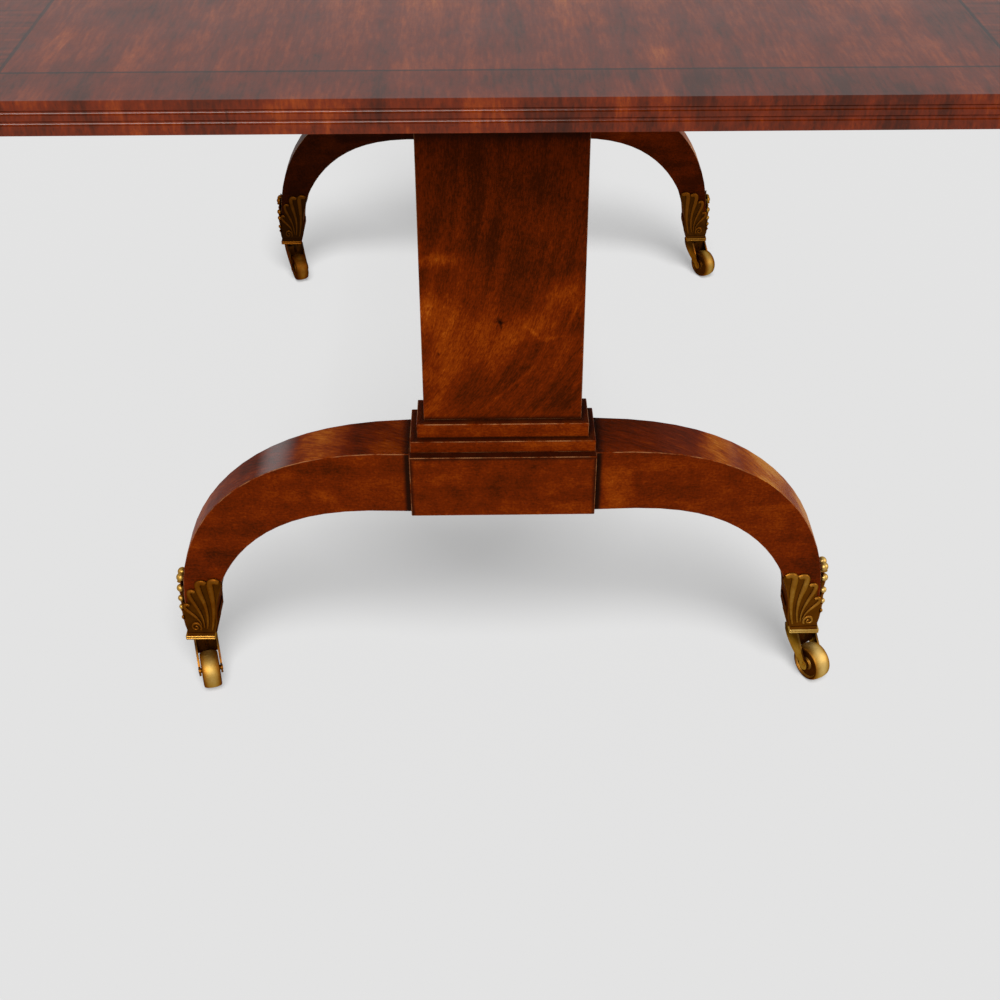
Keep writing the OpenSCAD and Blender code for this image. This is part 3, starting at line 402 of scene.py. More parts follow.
def leg_strip(end, side):
    """The flamed veneer on a leg's outer curve, with its polish."""
    if side == "front":
        clouds = [
            ((0, -0.168, 0.29), (1, 0.044, 0.06), 0, 0.5),
            ((0, -0.105, 0.3), (1, 0.035, 0.05), 0, 0.24),
            ((0, -0.258, 0.235), (1, 0.03, 0.06), 0, 0.14),
            ((0, -0.292, 0.2), (1, 0.03, 0.08), 0, 0.36),
        ]
        polish = [((0, -0.206, 0.26), (1, 0.026, 0.05), 0.4, 1.8)]
    else:
        clouds = [
            ((0, 0.12, 0.3), (1, 0.05, 0.05), 0, -0.04),
            ((0, 0.2, 0.27), (1, 0.03, 0.06), 0, 0.52),
            ((0, 0.245, 0.23), (1, 0.05, 0.09), 0, 0.7),
            ((0, 0.292, 0.19), (1, 0.038, 0.08), 0, 0.82),
        ]
        polish = [((0, 0.212, 0.251), (1, 0.012, 0.04), 0, 0.2)]
    tone = 0.43 + FAR_SHADE.get((end, side), 0)
    return mahogany("leg_" + end + "_" + side + "_strip",
                    lambda x, y, z: (x - y * 0.45, y + x * 0.45, z), tone, 0.4, 0.5, 0.16,
                    patches=clouds, gloss=0.02, sheen=polish, wear=0.85,
                    fleck=(0.002, 0.014), bend=0.03,
                    # Painted shade in the joint against the block
                    painted_shade=lambda x, y, z: (abs(y) - block_y).rise(0.01, 0.001) * 0.85)


def veneer_outside(work, sign):
    """Gives the second material to the faces of a leg's outer curve."""
    for face in work.faces:
        outward = face.normal.z > STRIP_LEVEL or face.normal.y * sign > STRIP_UPRIGHT
        along_strip = outward and abs(face.normal.x) < STRIP_LEAN
        if along_strip and face.calc_center_median().z > STRIP_FOOT:
            face.material_index = 1


for end in ENDS:
    for side, sign in SIDES.items():
        name = "leg_" + end + "_" + side
        work = planed(name, 0.0008)
        veneer_outside(work, sign)
        finished(work, name + "_veneered", "table",
                 [leg_wood(end, side), leg_strip(end, side)], [name])


# The stepped plinths
# Two mouldings planed square and stacked on each block, veneered on their edges. Their corners
# are darkened with painted shade, and their top edges are rubbed to a pale line.
plinth_low, plinth_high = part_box("plinth_right")
column_low, column_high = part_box("column_right")
SUPPORT_X = (column_low.x + column_high.x) / 2
# How far painted shade on a step reaches out from what stands on it
STEP_SHADE = 0.014


def outside_of(x, y, half_x, half_y):
    """How far a place lies outside an upright box on the middle of a support."""
    return (abs(abs(x) - SUPPORT_X) - half_x).most(abs(y) - half_y)


LOWER_STEP_H = 0.012
LOWER_HALF_Y = 0.0828
UPPER_HALF = (0.0205, 0.0765)
COLUMN_HALF = (0.013, 0.070)


def shade_on_steps(x, y, z):
    """Painted shade on the top of each step, darkest against what stands on it, and at
    the plinth's foot and the steps' ends.
    """
    lower_top = abs(z - plinth_low.z - LOWER_STEP_H).rise(0.0018, 0.0002)
    upper_top = abs(z - plinth_high.z).rise(0.0012, 0.0)
    by_upper = 1 - outside_of(x, y, *UPPER_HALF).rise(0.0, STEP_SHADE)
    by_column = 1 - outside_of(x, y, *COLUMN_HALF).rise(0.0, STEP_SHADE)
    foot = (z - plinth_low.z).rise(0.002, 0.0)
    lower_end = (abs(y) - LOWER_HALF_Y).rise(-0.0009, -0.0003)
    upper_end = (abs(y) - UPPER_HALF[1]).rise(-0.0009, -0.0003) * (
        z - plinth_low.z - LOWER_STEP_H).rise(0.0, 0.0005)
    tops = (lower_top * by_upper).most(upper_top * by_column) * 0.85
    return tops.most(foot * 0.7).most(lower_end.most(upper_end) * 0.75)


plinth_wood = mahogany("plinth_veneer", along_y, 0.5, 0.42, 0.26, 0.32, painted_shade=shade_on_steps, wear=1.0,
                       cloud=0.018, fleck=(0.0014, 0.005), veins=0.08)
for end in ENDS:
    finished(planed("plinth_" + end, 0.0008), "plinth_" + end + "_veneered", "table",
             [plinth_wood], ["plinth_" + end])


# The columns
# A slab veneered on its faces with a crotch figure: upright at the head, leaning over to the
# right towards the foot, with fine cross-dashes that catch the light, and one small knot.

# The height from which the figure leans, how fast it does and how far
FLAME_FOOT = 0.30
FLAME_BEND = 0.1
FLAME_LEAN = 0.095
# Painted shadow under the bearer starts at this height
HEAD_SHADOW = 0.565
# A cloud fades out at this many times its half sizes
CLOUD_REACH = 1.5


def drawn(y, z, half_y, half_z, lean, strength):
    """A cloud of the columns' figure: its middle and half sizes in mm, its lean in degrees."""
    reach = CLOUD_REACH / 1000
    return ((0, y / 1000, z / 1000), (1, half_y * reach, half_z * reach), radians(lean), strength)


def flame(x, y, z):
    """Parts across, along and through the leaning figure of a column."""
    lean = ((FLAME_FOOT - z) * (1 / FLAME_BEND)).exp()
    return y + lean * FLAME_LEAN, z, x


def shade_at_column_ends(x, y, z):
    """Painted shade over the plinth and painted shadow under the bearer."""
    foot = 1 - (z - plinth_high.z).rise(0.0005, 0.005)
    head = (z - HEAD_SHADOW).rise(0.0, 0.011)
    return (foot * 0.8).most(head * 0.75)


column_wood = mahogany(
    "column_crotch_veneer", flame, 0.415, 0.4, 0.44, 0.28, painted_shade=shade_at_column_ends,
    streak=(0.01, 0.09), cloud=0.03, fleck=(0.0013, 0.006), veins=0.06, bend=0.022, patches=[
        # The first three wide dark clouds, high on the column, are painted shade under the top
        drawn(0, 560, 70, 45, 0, -0.07), drawn(5, 518, 90, 28, 0, -0.07),
        drawn(0, 490, 95, 26, 0, -0.08),
        drawn(-20, 546, 12, 26, 0, -0.1), drawn(-18, 483, 23, 26, 0, -0.1),
        drawn(38, 462, 35, 21, -20, -0.09), drawn(11, 441, 25, 19, -30, -0.05),
        drawn(59, 406, 12, 16, 0, -0.1), drawn(-36, 334, 19, 14, 40, -0.06),
        drawn(-7, 341, 21, 16, 45, -0.05), drawn(47, 539, 31, 30, 0, -0.04),
        drawn(-59, 445, 12, 12, 0, -0.04), drawn(-55, 467, 23, 8, 5, 0.28),
        drawn(-57, 418, 25, 21, 0, 0.28), drawn(-28, 392, 41, 28, 20, 0.2),
        drawn(-52, 360, 26, 30, 0, 0.22), drawn(-58, 322, 20, 18, 0, 0.2),
        drawn(26, 405, 26, 18, 25, 0.3), drawn(53, 437, 25, 14, 40, 0.25),
        drawn(66, 408, 10, 14, 0, -0.08),
        drawn(1, 380, 27, 19, 20, 0.08), drawn(26, 495, 21, 14, 0, 0.07),
        drawn(30, 314, 28, 6, 0, 0.14), drawn(-15, 307, 50, 5, 0, 0.08),
        drawn(-7, 525, 12, 28, 0, 0.04),
        drawn(6, 343, 36, 2, 45, 0.18), drawn(25, 397, 12, 2.4, -35, 0.2),
        drawn(45, 394, 11, 2.4, 18, 0.2), drawn(62, 417, 20, 2.4, 68, 0.2),
        drawn(-1, 409, 2, 7, 0, -0.45), drawn(-1, 409, 4.5, 2, 0, -0.4),
        drawn(-57, 376, 1.7, 1.7, 0, -0.4),
    ])
for end in ENDS:
    finished(planed("column_" + end, 0.0007), "column_" + end + "_veneered", "table",
             [column_wood], ["column_" + end])


# The bearers and the stretcher
# Plain straight-grained mahogany: a bearer screwed under the frieze on each column, and a
# turned stretcher pegged between the columns.
bearer_wood = mahogany("bearer_wood", along_y, 0.4, 0.4, 0.2, 0.1)
stretcher_wood = mahogany("stretcher_wood", along_x, 0.42, 0.4, 0.2, 0.1, gloss=0.2)
for end in ENDS:
    finished(planed("bearer_" + end), "bearer_" + end + "_planed", "table",
             [bearer_wood], ["bearer_" + end])
finished(planed("stretcher", 0), "stretcher_turned", "table", [stretcher_wood],
         ["stretcher"])


# The frieze
# End rails, corner posts, the back rail, the rails over and under the drawers and the
# partition, in mahogany, with runners and kickers in oak.
rail_wood = mahogany("frieze_veneer", along_x, 0.46, 0.45, 0.3, 0.14)
end_rail_wood = mahogany("end_rail_veneer", along_y, 0.46, 0.45, 0.3, 0.14)
post_wood = mahogany("post_wood", along_z, 0.44, 0.35, 0.2, 0.12)
for node, wood in {
    "end_rail_left": end_rail_wood, "end_rail_right": end_rail_wood, "corner_posts": post_wood,
    "back_rail": rail_wood, "top_rail": rail_wood, "bottom_rail": rail_wood,
    "partition": end_rail_wood,
}.items():
    finished(planed(node, 0.0006), node + "_planed", "table", [wood], [node])


def oak(name, grain):
    """Bare quartered oak: pale, with open pores, silver rays and a soft bloom of age."""
    material, place, shader = new_material(name)
    across, along, through = grain(*place.split())
    wood = place.node("CombineXYZ", {}, {0: across, 1: along, 2: through})
    rings = wood.noise((0.004, 0.2, 0.05), 3.0)
    pores = wood.noise((0.0004, 0.006, 0.002), 1.0).rise(0.58, 0.68)
    rays = wood.noise((0.012, 0.003, 0.02), 1.0).rise(0.62, 0.7)
    base = rings.colour([(0.25, (0.27, 0.16, 0.075)), (0.75, (0.46, 0.31, 0.17))])
    base = base.tint((0.55, 0.4, 0.24), rays * 0.35).tint((0.12, 0.07, 0.035), pores * 0.6)
    dust = place.noise((0.08, 0.08, 0.08), 3.0).rise(0.4, 0.75)
    base = base.tint((0.2, 0.14, 0.08), dust * 0.35)
    tree = material.node_tree
    tree.links.new(base.socket, shader.inputs["Base Color"])
    tree.links.new((0.6 + rings * 0.2).socket, shader.inputs["Roughness"])
    dent = place.node("Bump", {}, {"Strength": 0.4, "Distance": 0.0003, "Height": 1 - pores})
    tree.links.new(dent.socket, shader.inputs["Normal"])
    return material


oak_across = oak("oak_across", along_x)
oak_along = oak("oak_along", along_y)
finished(planed("runners", 0.0006), "runners_planed", "table", [oak_along],
         ["runners"])


# The drawers and the dummy fronts
# Each drawer has a veneered front with a cock bead, and an oak lining dovetailed to it. The
# dummy fronts on the other long side match them.
front_wood = mahogany("drawer_front_veneer", along_x, 0.5, 0.6, 0.4, 0.16, gloss=0.12)
bead_wood = mahogany("cock_bead_wood", along_x, 0.36, 0.3, 0.2, 0.1, gloss=0.2)
for end in ENDS:
    body = "drawer_" + end
    for part, slot, material, arris in (
        ("front", "mahogany", front_wood, 0.0005),
        ("bead", "mahogany", bead_wood, 0),
        ("sides", "drawer_lining", oak_along, 0.0005),
        ("back", "drawer_lining", oak_across, 0.0005),
        ("bottom", "drawer_lining", oak_across, 0.0005),
    ):
        node = "drawer_" + part + "_" + end
        finished(planed(node, arris), node + "_made", body, [material], [node])
    node = "dummy_front_" + end
    finished(planed(node, 0.0005), node + "_veneered", "table", [front_wood], [node])
finished(planed("dummy_beads", 0), "dummy_beads_made", "table", [bead_wood],
         ["dummy_beads"])


# The knobs, hinges and pins
# Turned and lacquered brass knobs, cast butt hinges let into the wood, steel pins.
BRASS = [
    (0.0, (0.02, 0.006, 0.0006)),
    (0.4, (0.15, 0.046, 0.0035)),
    (0.55, (0.265, 0.113, 0.014)),
    (0.7, (0.41, 0.24, 0.052)),
    (1.0, (0.74, 0.54, 0.2)),
]
# The sizes of the brass's stains, of its specks and of the dents of its casting
STAIN = (0.012, 0.012, 0.012)
BRASS_SPECK = (0.0012, 0.0012, 0.0012)
CASTING = (0.002, 0.002, 0.002)


def brass(name, tone, rough=0.3, grime=0.3, raised=0.0, patches=(), darkening=None):
    """Old cast brass: bright where hands and the floor rub it, brown in its hollows. raised is
    the strength of its high attribute, a patch as on the wood, and darkening turns a place
    into the share of near black mixed into it."""
    material, place, shader = new_material(name)
    stains = place.noise(STAIN, 4.0, 0.65) - 0.5
    specks = place.noise(BRASS_SPECK, 2.0, 0.7) - 0.5
    light = tone + stains * grime + specks * grime * 0.5
    if raised:
        high = place.node("Attribute", {"attribute_name": "high"}, {}, 2)
        light = light + (high - 0.5) * raised
    for middle, size, lean, strength in patches:
        light = light + place.patch(middle, size, lean) * strength
    base = light.colour(BRASS)
    if darkening:
        base = base.tint((0.012, 0.007, 0.003), darkening(*place.split()))
    tree = material.node_tree
    tree.links.new(base.socket, shader.inputs["Base Color"])
    tree.links.new((rough + stains * 0.25).socket, shader.inputs["Roughness"])
    dent = place.node("Bump", {}, {
        "Strength": 0.3, "Distance": 0.0002, "Height": place.noise(CASTING, 2.0)})
    tree.links.new(dent.socket, shader.inputs["Normal"])
    shader.inputs["Metallic"].default_value = 1.0
    shader.inputs["Specular Tint"].default_value = (0.45, 0.28, 0.1, 1)
    return material


knob_brass = brass("knob_brass", 0.75, 0.22, 0.25)
hinge_brass = brass("hinge_brass", 0.55, 0.4, 0.5)
for end in ENDS:
    node = "drawer_knobs_" + end
    finished(planed(node, 0), node + "_turned", "drawer_" + end, [knob_brass], [node])
    node = "hinge_straps_" + end
    finished(planed(node, 0.0003), node + "_cast", "flap_" + end, [hinge_brass], [node])
finished(planed("dummy_knobs", 0), "dummy_knobs_turned", "table", [knob_brass],
         ["dummy_knobs"])
finished(planed("hinge_plates", 0.0003), "hinge_plates_cast", "table", [hinge_brass],
         ["hinge_plates"])

steel, place, shader = new_material("drawn_steel")
scratches = place.noise((0.0005, 0.01, 0.0005), 2.0)
greys = scratches.colour([(0.3, (0.2, 0.19, 0.18)), (0.7, (0.42, 0.41, 0.4))])
steel.node_tree.links.new(greys.socket, shader.inputs["Base Color"])
steel.node_tree.links.new((0.3 + scratches * 0.2).socket, shader.inputs["Roughness"])
shader.inputs["Metallic"].default_value = 1.0
for node in ("hinge_pins", "bracket_pins"):
    finished(planed(node, 0), node + "_drawn", "table", [steel], [node])


# The fly rails
# A rail of hard mahogany at each end, cut into a fixed block and two brackets that swing on
# wooden knuckles, each on a steel pin.
fly_wood = mahogany("fly_rail_wood", along_y, 0.42, 0.4, 0.2, 0.12)
for end in ENDS:
    node = "fly_block_" + end
    finished(planed(node, 0), node + "_cut", "table", [fly_wood], [node])
    for side in SIDES:
        node = "fly_bracket_" + end + "_" + side
        finished(planed(node, 0), node + "_cut", node, [fly_wood], [node])


# The top and its flaps
# Veneered boards with a reeded edge, crossbanded inside it, with an ebony line along the
# band. The rule joints are plain.
BAND_WIDTH = 0.042
JOINT_WIDTH = 0.0003
LINE_OUTSIDE = 0.0014
LINE_INSIDE = 0.0008
band_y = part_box("top_board")[1].y - BAND_WIDTH
band_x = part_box("flap_right")[1].x - BAND_WIDTH


def crossbanded(x, y, z):
    """The shares of the turned grain, of the whole band and of the line along it."""
    sides = (abs(y) - band_y).rise(0.0, JOINT_WIDTH)
    edge = (abs(y) - band_y).most(abs(x) - band_x)
    return sides, edge.rise(0.0, JOINT_WIDTH), abs(edge).rise(LINE_OUTSIDE, LINE_INSIDE)


top_wood = mahogany("top_veneer", along_x, 0.5, 0.6, 0.45, 0.14, gloss=0.5, border=crossbanded)
for node, body in {"top_board": "table", "flap_left": "flap_left",
                   "flap_right": "flap_right"}.items():
    finished(planed(node, 0), node + "_veneered", body, [top_wood], [node])


# The cups
# Cast brass shoes over the feet, each with a palmette of hooked fronds on its two faces and a
# curled leaf on its outer side, lacquered long ago and dull brown between the high places.
CUP_FACE = 0.0179
FOOT_TAPER = 0.0546
RELIEF = 0.0011
CUP_BOTTOM = 0.054
BAND_TOP = 0.0595
FOOT_Y = 0.3
LEAF_OUT = 0.0138
ROLL_OUT = 0.008
ROLL_UNDER = 0.128
# A frond in mm across from the foot's middle and up from the cup's bottom: its root, the
# handle over it, the drop of the second handle, and its hook's middle and radius
FRONDS = [
    ((-13, 18), (-20, 42), 14, (-22, 71), 4.8),
    ((-8.4, 20), (-14.5, 42), 14, (-9.7, 69.4), 4.4),
    ((-5.6, 21), (-8, 36), 10, (1.3, 59.3), 3.3),
    ((-3.4, 23), (-3, 32), 5, (8, 42.4), 2.7),
]
STEM_STEPS = 12
HOOK_DEGREES = range(15, 151, 15)
# The scroll's middle and outer radius in mm, its turns in degrees and its steps
SCROLL = Vector((2.7, 20.8))
SCROLL_RADIUS = 5.4
SCROLL_EYE = 0.9
SCROLL_START = 215
SCROLL_TURNS = 500
SCROLL_STEPS = 26
# The scroll's half width in mm at its outer end, and what it loses on the way in
SCROLL_HALF = 1.5
SCROLL_THINS = 0.6
# Heights in mm round the scroll, and where the casting has them
SCROLL_HEIGHTS = (-99, 5, 13, 20.8, 27, 36, 45)
SCROLL_SETTLED = (-99, 5, 8.5, 16, 23.5, 34.5, 45)
# Heights in mm on the part's leaf, and how each casting was bent and filed from them
LEAF_HEIGHTS = (5, 21, 32, 48, 66, 75, 90)
LEAF_BENT = {
    ("right", "back"): (5, 24, 37, 50, 63, 67, 74),
    ("right", "front"): (5, 24, 38, 48, 58, 62, 69),
    ("left", "front"): (5, 19, 26, 39, 47, 56.5, 63.5),
    ("left", "back"): (5, 17, 25, 34, 45, 53, 60),
}
# The round knobs on the leaf: across from its middle, out from the foot's middle, up, radius
KNOBS = [(7.2, 13.8, 66, 4.1), (10.6, 14.2, 48, 3.3), (12, 15, 32, 2.5), (4.2, 12.7, 90, 4.6)]
# The high attribute of the solids' own relief, of a rib's sides, of the leaf where it reaches
# out farthest, and of the knobs, which are rubbed brightest and lightened further as a painted
# highlight. A rib's sides stay lower than its ridge as painted shading of its round.
RELIEF_HIGH = 0.35
RIB_SIDE_SHADED_HIGH = 0.6
LEAF_HIGH = 1.6
KNOB_RUBBED_AND_LIT = 2.0
# How a rib stands on its face, in mm: its rise, what a wide one adds to it for each mm of
# its half width, how far its sides are sunk, and the share of its width left at its end
RIB_RISE = 1.15
RIB_SWELL = 0.35
RIB_SUNK = 0.05
RIB_END = 0.35
# A frond's half width over its hook's radius: at its root, what it gains on its stem, and
# the share of its line over which it does
STEM_THIN = 0.26
STEM_GAIN = 0.46
STEM_GROWS = 1 / 2.4
# What counts as leaf: how deep behind its outer side, and how far out it is rubbed brightest
LEAF_DEPTH = 0.0012
LEAF_RUBBED = 0.0016
# How nearly a face looks towards the arch where it is a cup's plain inner side
INNER_FACING = 0.7


def stretched(value, before, after):
    """A value moved as the numbers in before move to those in after."""
    stretches = list(zip(before, after))
    for (low, low_to), (high, high_to) in zip(stretches, stretches[1:]):
        if value <= high:
            return low_to + (high_to - low_to) * (value - low) / (high - low)
    return value


def settled(up):
    """The scroll and the fronds' roots sit close over the band."""
    return stretched(up, SCROLL_HEIGHTS, SCROLL_SETTLED)


def on_cup(end, side, face, spot, out):
    """A spot of a cup's face, in mm across and up, raised from it by out."""
    over = spot.x / 1000
    leaning = CUP_FACE - FOOT_TAPER * over + out / 1000
    return Vector((end * SUPPORT_X + face * leaning, side * (FOOT_Y + over),
                   CUP_BOTTOM + settled(spot.y) / 1000))


def rib(work, high, line, halves, end, side, face):
    """A round rib on a cup's face along a line, with its half widths in mm. It ends narrow,
    and high grows from its sides to its ridge."""
    last = len(line) - 1
    made = bmesh.ops.create_grid(work, x_segments=last, y_segments=8, size=1)["verts"]
    for vert in made:
        k = round((vert.co.x + 1) / 2 * last)
        turn = (vert.co.y + 1) * radians(90)
        run = line[min(k + 1, last)] - line[max(k - 1, 0)]
        sideways = Vector((-run.y, run.x)).normalized()
        half = halves[k] * (RIB_END if k == last else 1)
        out = (RIB_RISE + RIB_SWELL * half) * sin(turn) - RIB_SUNK
        # Painted shading: the rib is darker towards its sides and lighter along its ridge
        vert[high] = RIB_SIDE_SHADED_HIGH + (1 - RIB_SIDE_SHADED_HIGH) * sin(turn)
        vert.co = on_cup(end, side, face, line[k] + sideways * half * cos(turn), out)
    faces = list({f for vert in made for f in vert.link_faces})
    bmesh.ops.recalc_face_normals(work, faces=faces)
    if sum(f.normal.x for f in faces) * face < 0:
        bmesh.ops.reverse_faces(work, faces=faces)


def hooked(root, handle, drop, hook, radius):
    """The middle line of a frond and its half widths: a curved stem, then round its hook."""
    end = Vector((hook[0] + radius, hook[1]))
    handles = Vector(handle), end - Vector((0, drop))
    line = interpolate_bezier(Vector(root), *handles, end, STEM_STEPS)
    turns = [radians(degrees) for degrees in HOOK_DEGREES]
    line += [Vector(hook) + radius * Vector((cos(turn), sin(turn))) for turn in turns]
    last = len(line) - 1
    return line, [radius * (STEM_THIN + STEM_GAIN * min(1, k / last / STEM_GROWS))
                  for k in range(last + 1)]


def spiral():
    """The middle line of the scroll and its half widths, from its outer end inwards."""
    line = []
    halves = []
    for k in range(SCROLL_STEPS + 1):
        share = k / SCROLL_STEPS
        turn = radians(SCROLL_START - SCROLL_TURNS * share)
        radius = SCROLL_RADIUS - (SCROLL_RADIUS - SCROLL_EYE) * share
        line.append(SCROLL + radius * Vector((cos(turn), sin(turn))))
        halves.append(SCROLL_HALF - SCROLL_THINS * share)
    return line, halves


# How much darker or brighter each foot's brass is painted, as patches round the feet: painted
# shade, deepest on the far feet, and painted light on the near right one
FOOT_LIGHT_AND_SHADE = {("left", "front"): -0.32, ("left", "back"): -0.1, ("right", "front"): -0.05,
              ("right", "back"): 0.08}
foot_lit_and_shaded = [((ENDS[end] * SUPPORT_X, SIDES[side] * FOOT_Y, 0.08), (0.2, 0.2, 0.3), 0, tone)
                for (end, side), tone in FOOT_LIGHT_AND_SHADE.items()]
cup_brass = brass("cup_brass", 0.33, 0.44, 0.3, 0.27, foot_lit_and_shaded)
band_brass = brass("band_brass", 0.64, 0.33, 0.25, patches=foot_lit_and_shaded)
inside_brass = brass("inner_side_brass", 0.16, 0.55, 0.2)
work = planed("cups", 0)
high = work.verts.layers.float.new("high")
for vert in work.verts:
    x, y, z = vert.co
    face_x = CUP_FACE - FOOT_TAPER * (abs(y) - FOOT_Y)
    proud = min(1.0, (abs(abs(x) - SUPPORT_X) - face_x) / RELIEF) * RELIEF_HIGH
    leaf = abs(y) - FOOT_Y - (LEAF_OUT if z < ROLL_UNDER else ROLL_OUT)
    vert[high] = max(0.0, proud, min(LEAF_HIGH, leaf / LEAF_RUBBED))
    up = (z - CUP_BOTTOM) * 1000
    if leaf > -LEAF_DEPTH and up > LEAF_HEIGHTS[0]:
        spot = "left" if x < 0 else "right", "front" if y < 0 else "back"
        up = stretched(up, LEAF_HEIGHTS, LEAF_BENT[spot])
    else:
        up = settled(up)
    vert.co.z = CUP_BOTTOM + up / 1000
for face in work.faces:
    middle = face.calc_center_median()
    if middle.z < BAND_TOP:
        face.material_index = 1
    elif abs(middle.y) < FOOT_Y and abs(face.normal.y) > INNER_FACING:
        face.material_index = 2
for end, side, face in ((e, s, f) for e in ENDS for s in SIDES for f in (-1, 1)):
    for frond in FRONDS:
        rib(work, high, *hooked(*frond), ENDS[end], SIDES[side], face)
    rib(work, high, *spiral(), ENDS[end], SIDES[side], face)
    for over, out, up, radius in KNOBS:
        up = stretched(up, LEAF_HEIGHTS, LEAF_BENT[end, side])
        middle = Vector((ENDS[end] * SUPPORT_X + face * over / 1000,
                         SIDES[side] * (FOOT_Y + out / 1000), CUP_BOTTOM + up / 1000))
        ball = bmesh.ops.create_icosphere(work, subdivisions=3, radius=radius / 1000,
                                          matrix=Matrix.Translation(middle))
        for vert in ball["verts"]:
            vert[high] = KNOB_RUBBED_AND_LIT
finished(work, "cups_cast", "table", [cup_brass, band_brass, inside_brass], ["cups"])


# The castors
# A brass fork on a pintle, with a throat that follows the wheel, and a barrel wheel on a
# riveted axle. The floor polishes the wheel's tread, and its bright middle is also a painted
# highlight. The wheel's sides are dark with painted shade, and the fork is darker towards its
# top, under the cup.

# How far each castor is turned where it rests, in degrees
TURNS = {("right", "front"): 14, ("right", "back"): 29,
         ("left", "front"): 22, ("left", "back"): 31}
WHEEL_HALF = 0.009
# How nearly a face looks along the axle where it is one of the wheel's sides
SIDE_FACING = 0.8
FORK_DARK_LOW = 0.03
FORK_DARK_HIGH = 0.045
# Half the room between the cheeks, and the throat's outline in mm along the trail and up
THROAT_HALF = 0.0099
THROAT = [(9.7, 47), (9.7, 31.6), (8.5, 30), (7.1, 27.7), (6.2, 25.6), (3.5, 27.5), (-2, 36),
          (-7, 47)]


def darker_to_fork_top(x, y, z):
    """Darker towards the top of the fork, under the cup."""
    return z.rise(FORK_DARK_LOW, FORK_DARK_HIGH) * 0.8


def throat(spot, turn):
    """The web between the cheeks, turned to where its castor rests.

    Its faces are made one by one, because an extrusion's come in an order of its own.
    """
    work = bmesh.new()
    one, two = ([work.verts.new((u / 1000, across, w / 1000)) for u, w in THROAT]
                for across in (-THROAT_HALF, THROAT_HALF))
    work.faces.new(one)
    work.faces.new(two[::-1])
    for k in range(len(THROAT)):
        work.faces.new((one[k - 1], two[k - 1], two[k], one[k]))
    bmesh.ops.recalc_face_normals(work, faces=work.faces)
    bmesh.ops.transform(work, verts=work.verts, matrix=Matrix.Translation(spot) @ turn)
    return work


fork_brass = brass("fork_brass", 0.52, 0.34, 0.4, patches=foot_lit_and_shaded, darkening=darker_to_fork_top)
# Dark brass for the throat in the fork's hollow, and painted shade on the wheel's sides
hollow_and_shade_brass = brass("hollow_and_shade_brass", 0.12, 0.6, 0.3)
wheel_brass = brass("wheel_brass", 0.58, 0.54, 0.26, 0.44, foot_lit_and_shaded)
for end in ENDS:
    for side in SIDES:
        name = end + "_" + side
        spot = Vector((ENDS[end] * SUPPORT_X, SIDES[side] * FOOT_Y, 0))
        turn = Matrix.Rotation(radians(TURNS[end, side]), 4, "Z")
        finished(planed("swivel_" + name, 0.0004), "swivel_" + name + "_cast",
                 "swivel_" + name, [fork_brass], ["swivel_" + name])
        finished(throat(spot, turn), "swivel_" + name + "_throat", "swivel_" + name,
                 [hollow_and_shade_brass])
        work = planed("wheel_" + name, 0.0004)
        high = work.verts.layers.float.new("high")
        # Lighter towards the middle of the tread: rubbed by the floor, and a painted highlight
        for vert in work.verts:
            off = (turn.inverted() @ (vert.co - spot)).y / WHEEL_HALF
            vert[high] = 1 - min(1, abs(off)) ** 2
        # The wheel's sides take the dark brass as painted shade
        for face in work.faces:
            if abs((turn.inverted() @ face.normal).y) > SIDE_FACING:
                face.material_index = 1
        finished(work, "wheel_" + name + "_turned", "wheel_" + name,
                 [wheel_brass, hollow_and_shade_brass], ["wheel_" + name])


# The floor and the light
# A pale studio floor under a hazy sky light of its own, which throws only the supports'
# shadows. A wide window behind the viewer lights the table, with a cooler one on the left
# and a small warm one on the right, and the raised top shades what is under it.
PALE = 0.768
FLOOR_SIZE = 14.0
FLOOR_GLOW = 0.37
FLOOR_MATT = 0.12
FLOOR_BOUNCE = (0.1, 0.096, 0.09)
floor_shape = bmesh.new()
bmesh.ops.create_grid(floor_shape, x_segments=1, y_segments=1, size=FLOOR_SIZE)
floor_mesh = bpy.data.meshes.new("floor")
floor_shape.to_mesh(floor_mesh)
floor_shape.free()
floor = bpy.data.objects.new("floor", floor_mesh)
scene.collection.objects.link(floor)


def seen_rays(tree):
    """1 for what the viewer sees, straight or in a mirror or through glass."""
    camera_ray = Value(tree, tree.nodes.new("ShaderNodeLightPath").outputs["Is Camera Ray"])
    rays = camera_ray.socket.node.outputs
    return camera_ray.most(Value(tree, rays["Is Glossy Ray"])).most(
        Value(tree, rays["Is Transmission Ray"]))


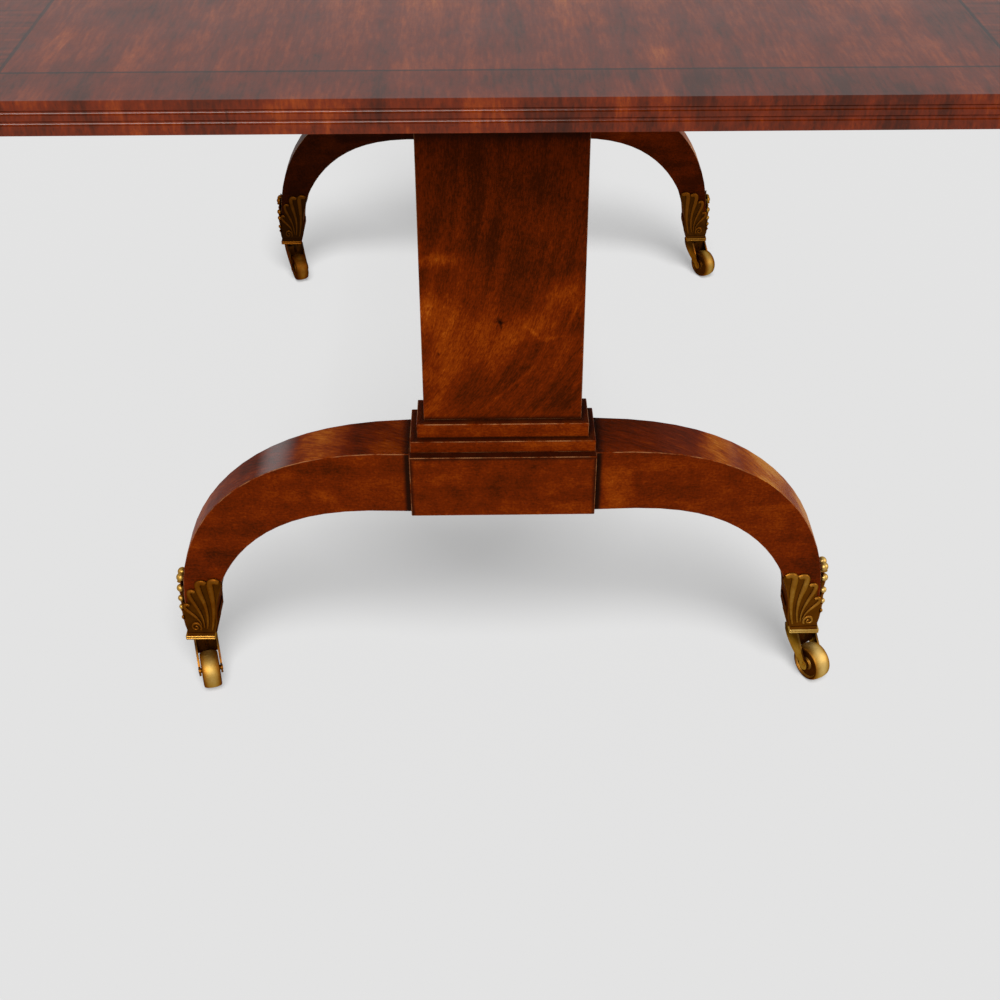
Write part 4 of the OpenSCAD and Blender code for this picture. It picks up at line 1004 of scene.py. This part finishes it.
material = bpy.data.materials.new("pale_floor")
material.use_nodes = True
tree = material.node_tree
tree.nodes.clear()
seen = seen_rays(tree)
glow = seen.node("Emission", {}, {"Color": (1, 1, 1), "Strength": FLOOR_GLOW})
matt = seen.node("BsdfDiffuse", {}, {"Color": (FLOOR_MATT, FLOOR_MATT, FLOOR_MATT)})
shown = seen.node("AddShader", {}, {0: glow, 1: matt})
bounce = seen.node("BsdfDiffuse", {}, {"Color": FLOOR_BOUNCE})
both = seen.node("MixShader", {}, {0: seen, 1: bounce, 2: shown})
tree.links.new(both.socket, tree.nodes.new("ShaderNodeOutputMaterial").inputs["Surface"])
floor_mesh.materials.append(material)

AMBIENT = 0.2
SUPPORT_TOP = 0.6
world = bpy.data.worlds.new("studio")
scene.world = world
world.use_nodes = True
tree = world.node_tree
strength = AMBIENT + seen_rays(tree) * (PALE - AMBIENT)
tree.links.new(strength.socket, tree.nodes["Background"].inputs["Strength"])
tree.nodes["Background"].inputs["Color"].default_value = (1, 1, 1, 1)

floor_only = bpy.data.collections.new("floor_only")
floor_only.objects.link(floor)
table_only = bpy.data.collections.new("table_only")
supports = bpy.data.collections.new("supports")
for piece in scene.objects:
    if piece.type == "MESH" and piece != floor:
        table_only.objects.link(piece)
        if max(corner[2] for corner in piece.bound_box) < SUPPORT_TOP:
            supports.objects.link(piece)


def stand_lamp(lamp, place, aim, lit):
    """Puts a lamp at a place, turned towards another. lit is what it lights."""
    stand = bpy.data.objects.new(lamp.name, lamp)
    turn = (Vector(aim) - Vector(place)).to_track_quat("-Z", "Y").to_matrix().to_4x4()
    stand.matrix_world = Matrix.Translation(place) @ turn
    scene.collection.objects.link(stand)
    stand.light_linking.receiver_collection = lit
    return stand


def window(name, place, aim, width, height, watts, colour):
    """A soft rectangular lamp that lights the table."""
    lamp = bpy.data.lights.new(name, "AREA")
    lamp.shape = "RECTANGLE"
    lamp.size = width
    lamp.size_y = height
    lamp.energy = watts
    lamp.color = colour
    stand_lamp(lamp, place, aim, table_only)


sky = bpy.data.lights.new("sky", "SUN")
sky.energy = 12.0
sky.angle = radians(32)
sky_stand = stand_lamp(sky, (0.17, 0.02, 0.25), (0, 0, 0), floor_only)
sky_stand.light_linking.blocker_collection = supports
window("front_window", (2.9, -0.7, 2.0), (0.4, 0, 0.2), 1.8, 1.2, 88, (1, 0.985, 0.96))
window("left_window", (0.9, -2.6, 1.5), (0.3, 0, 0.2), 1.4, 1.4, 8, (0.82, 0.78, 1))
window("right_window", (0.9, 2.6, 1.3), (0.3, 0, 0.2), 1.2, 1.2, 26, (1, 0.86, 0.68))
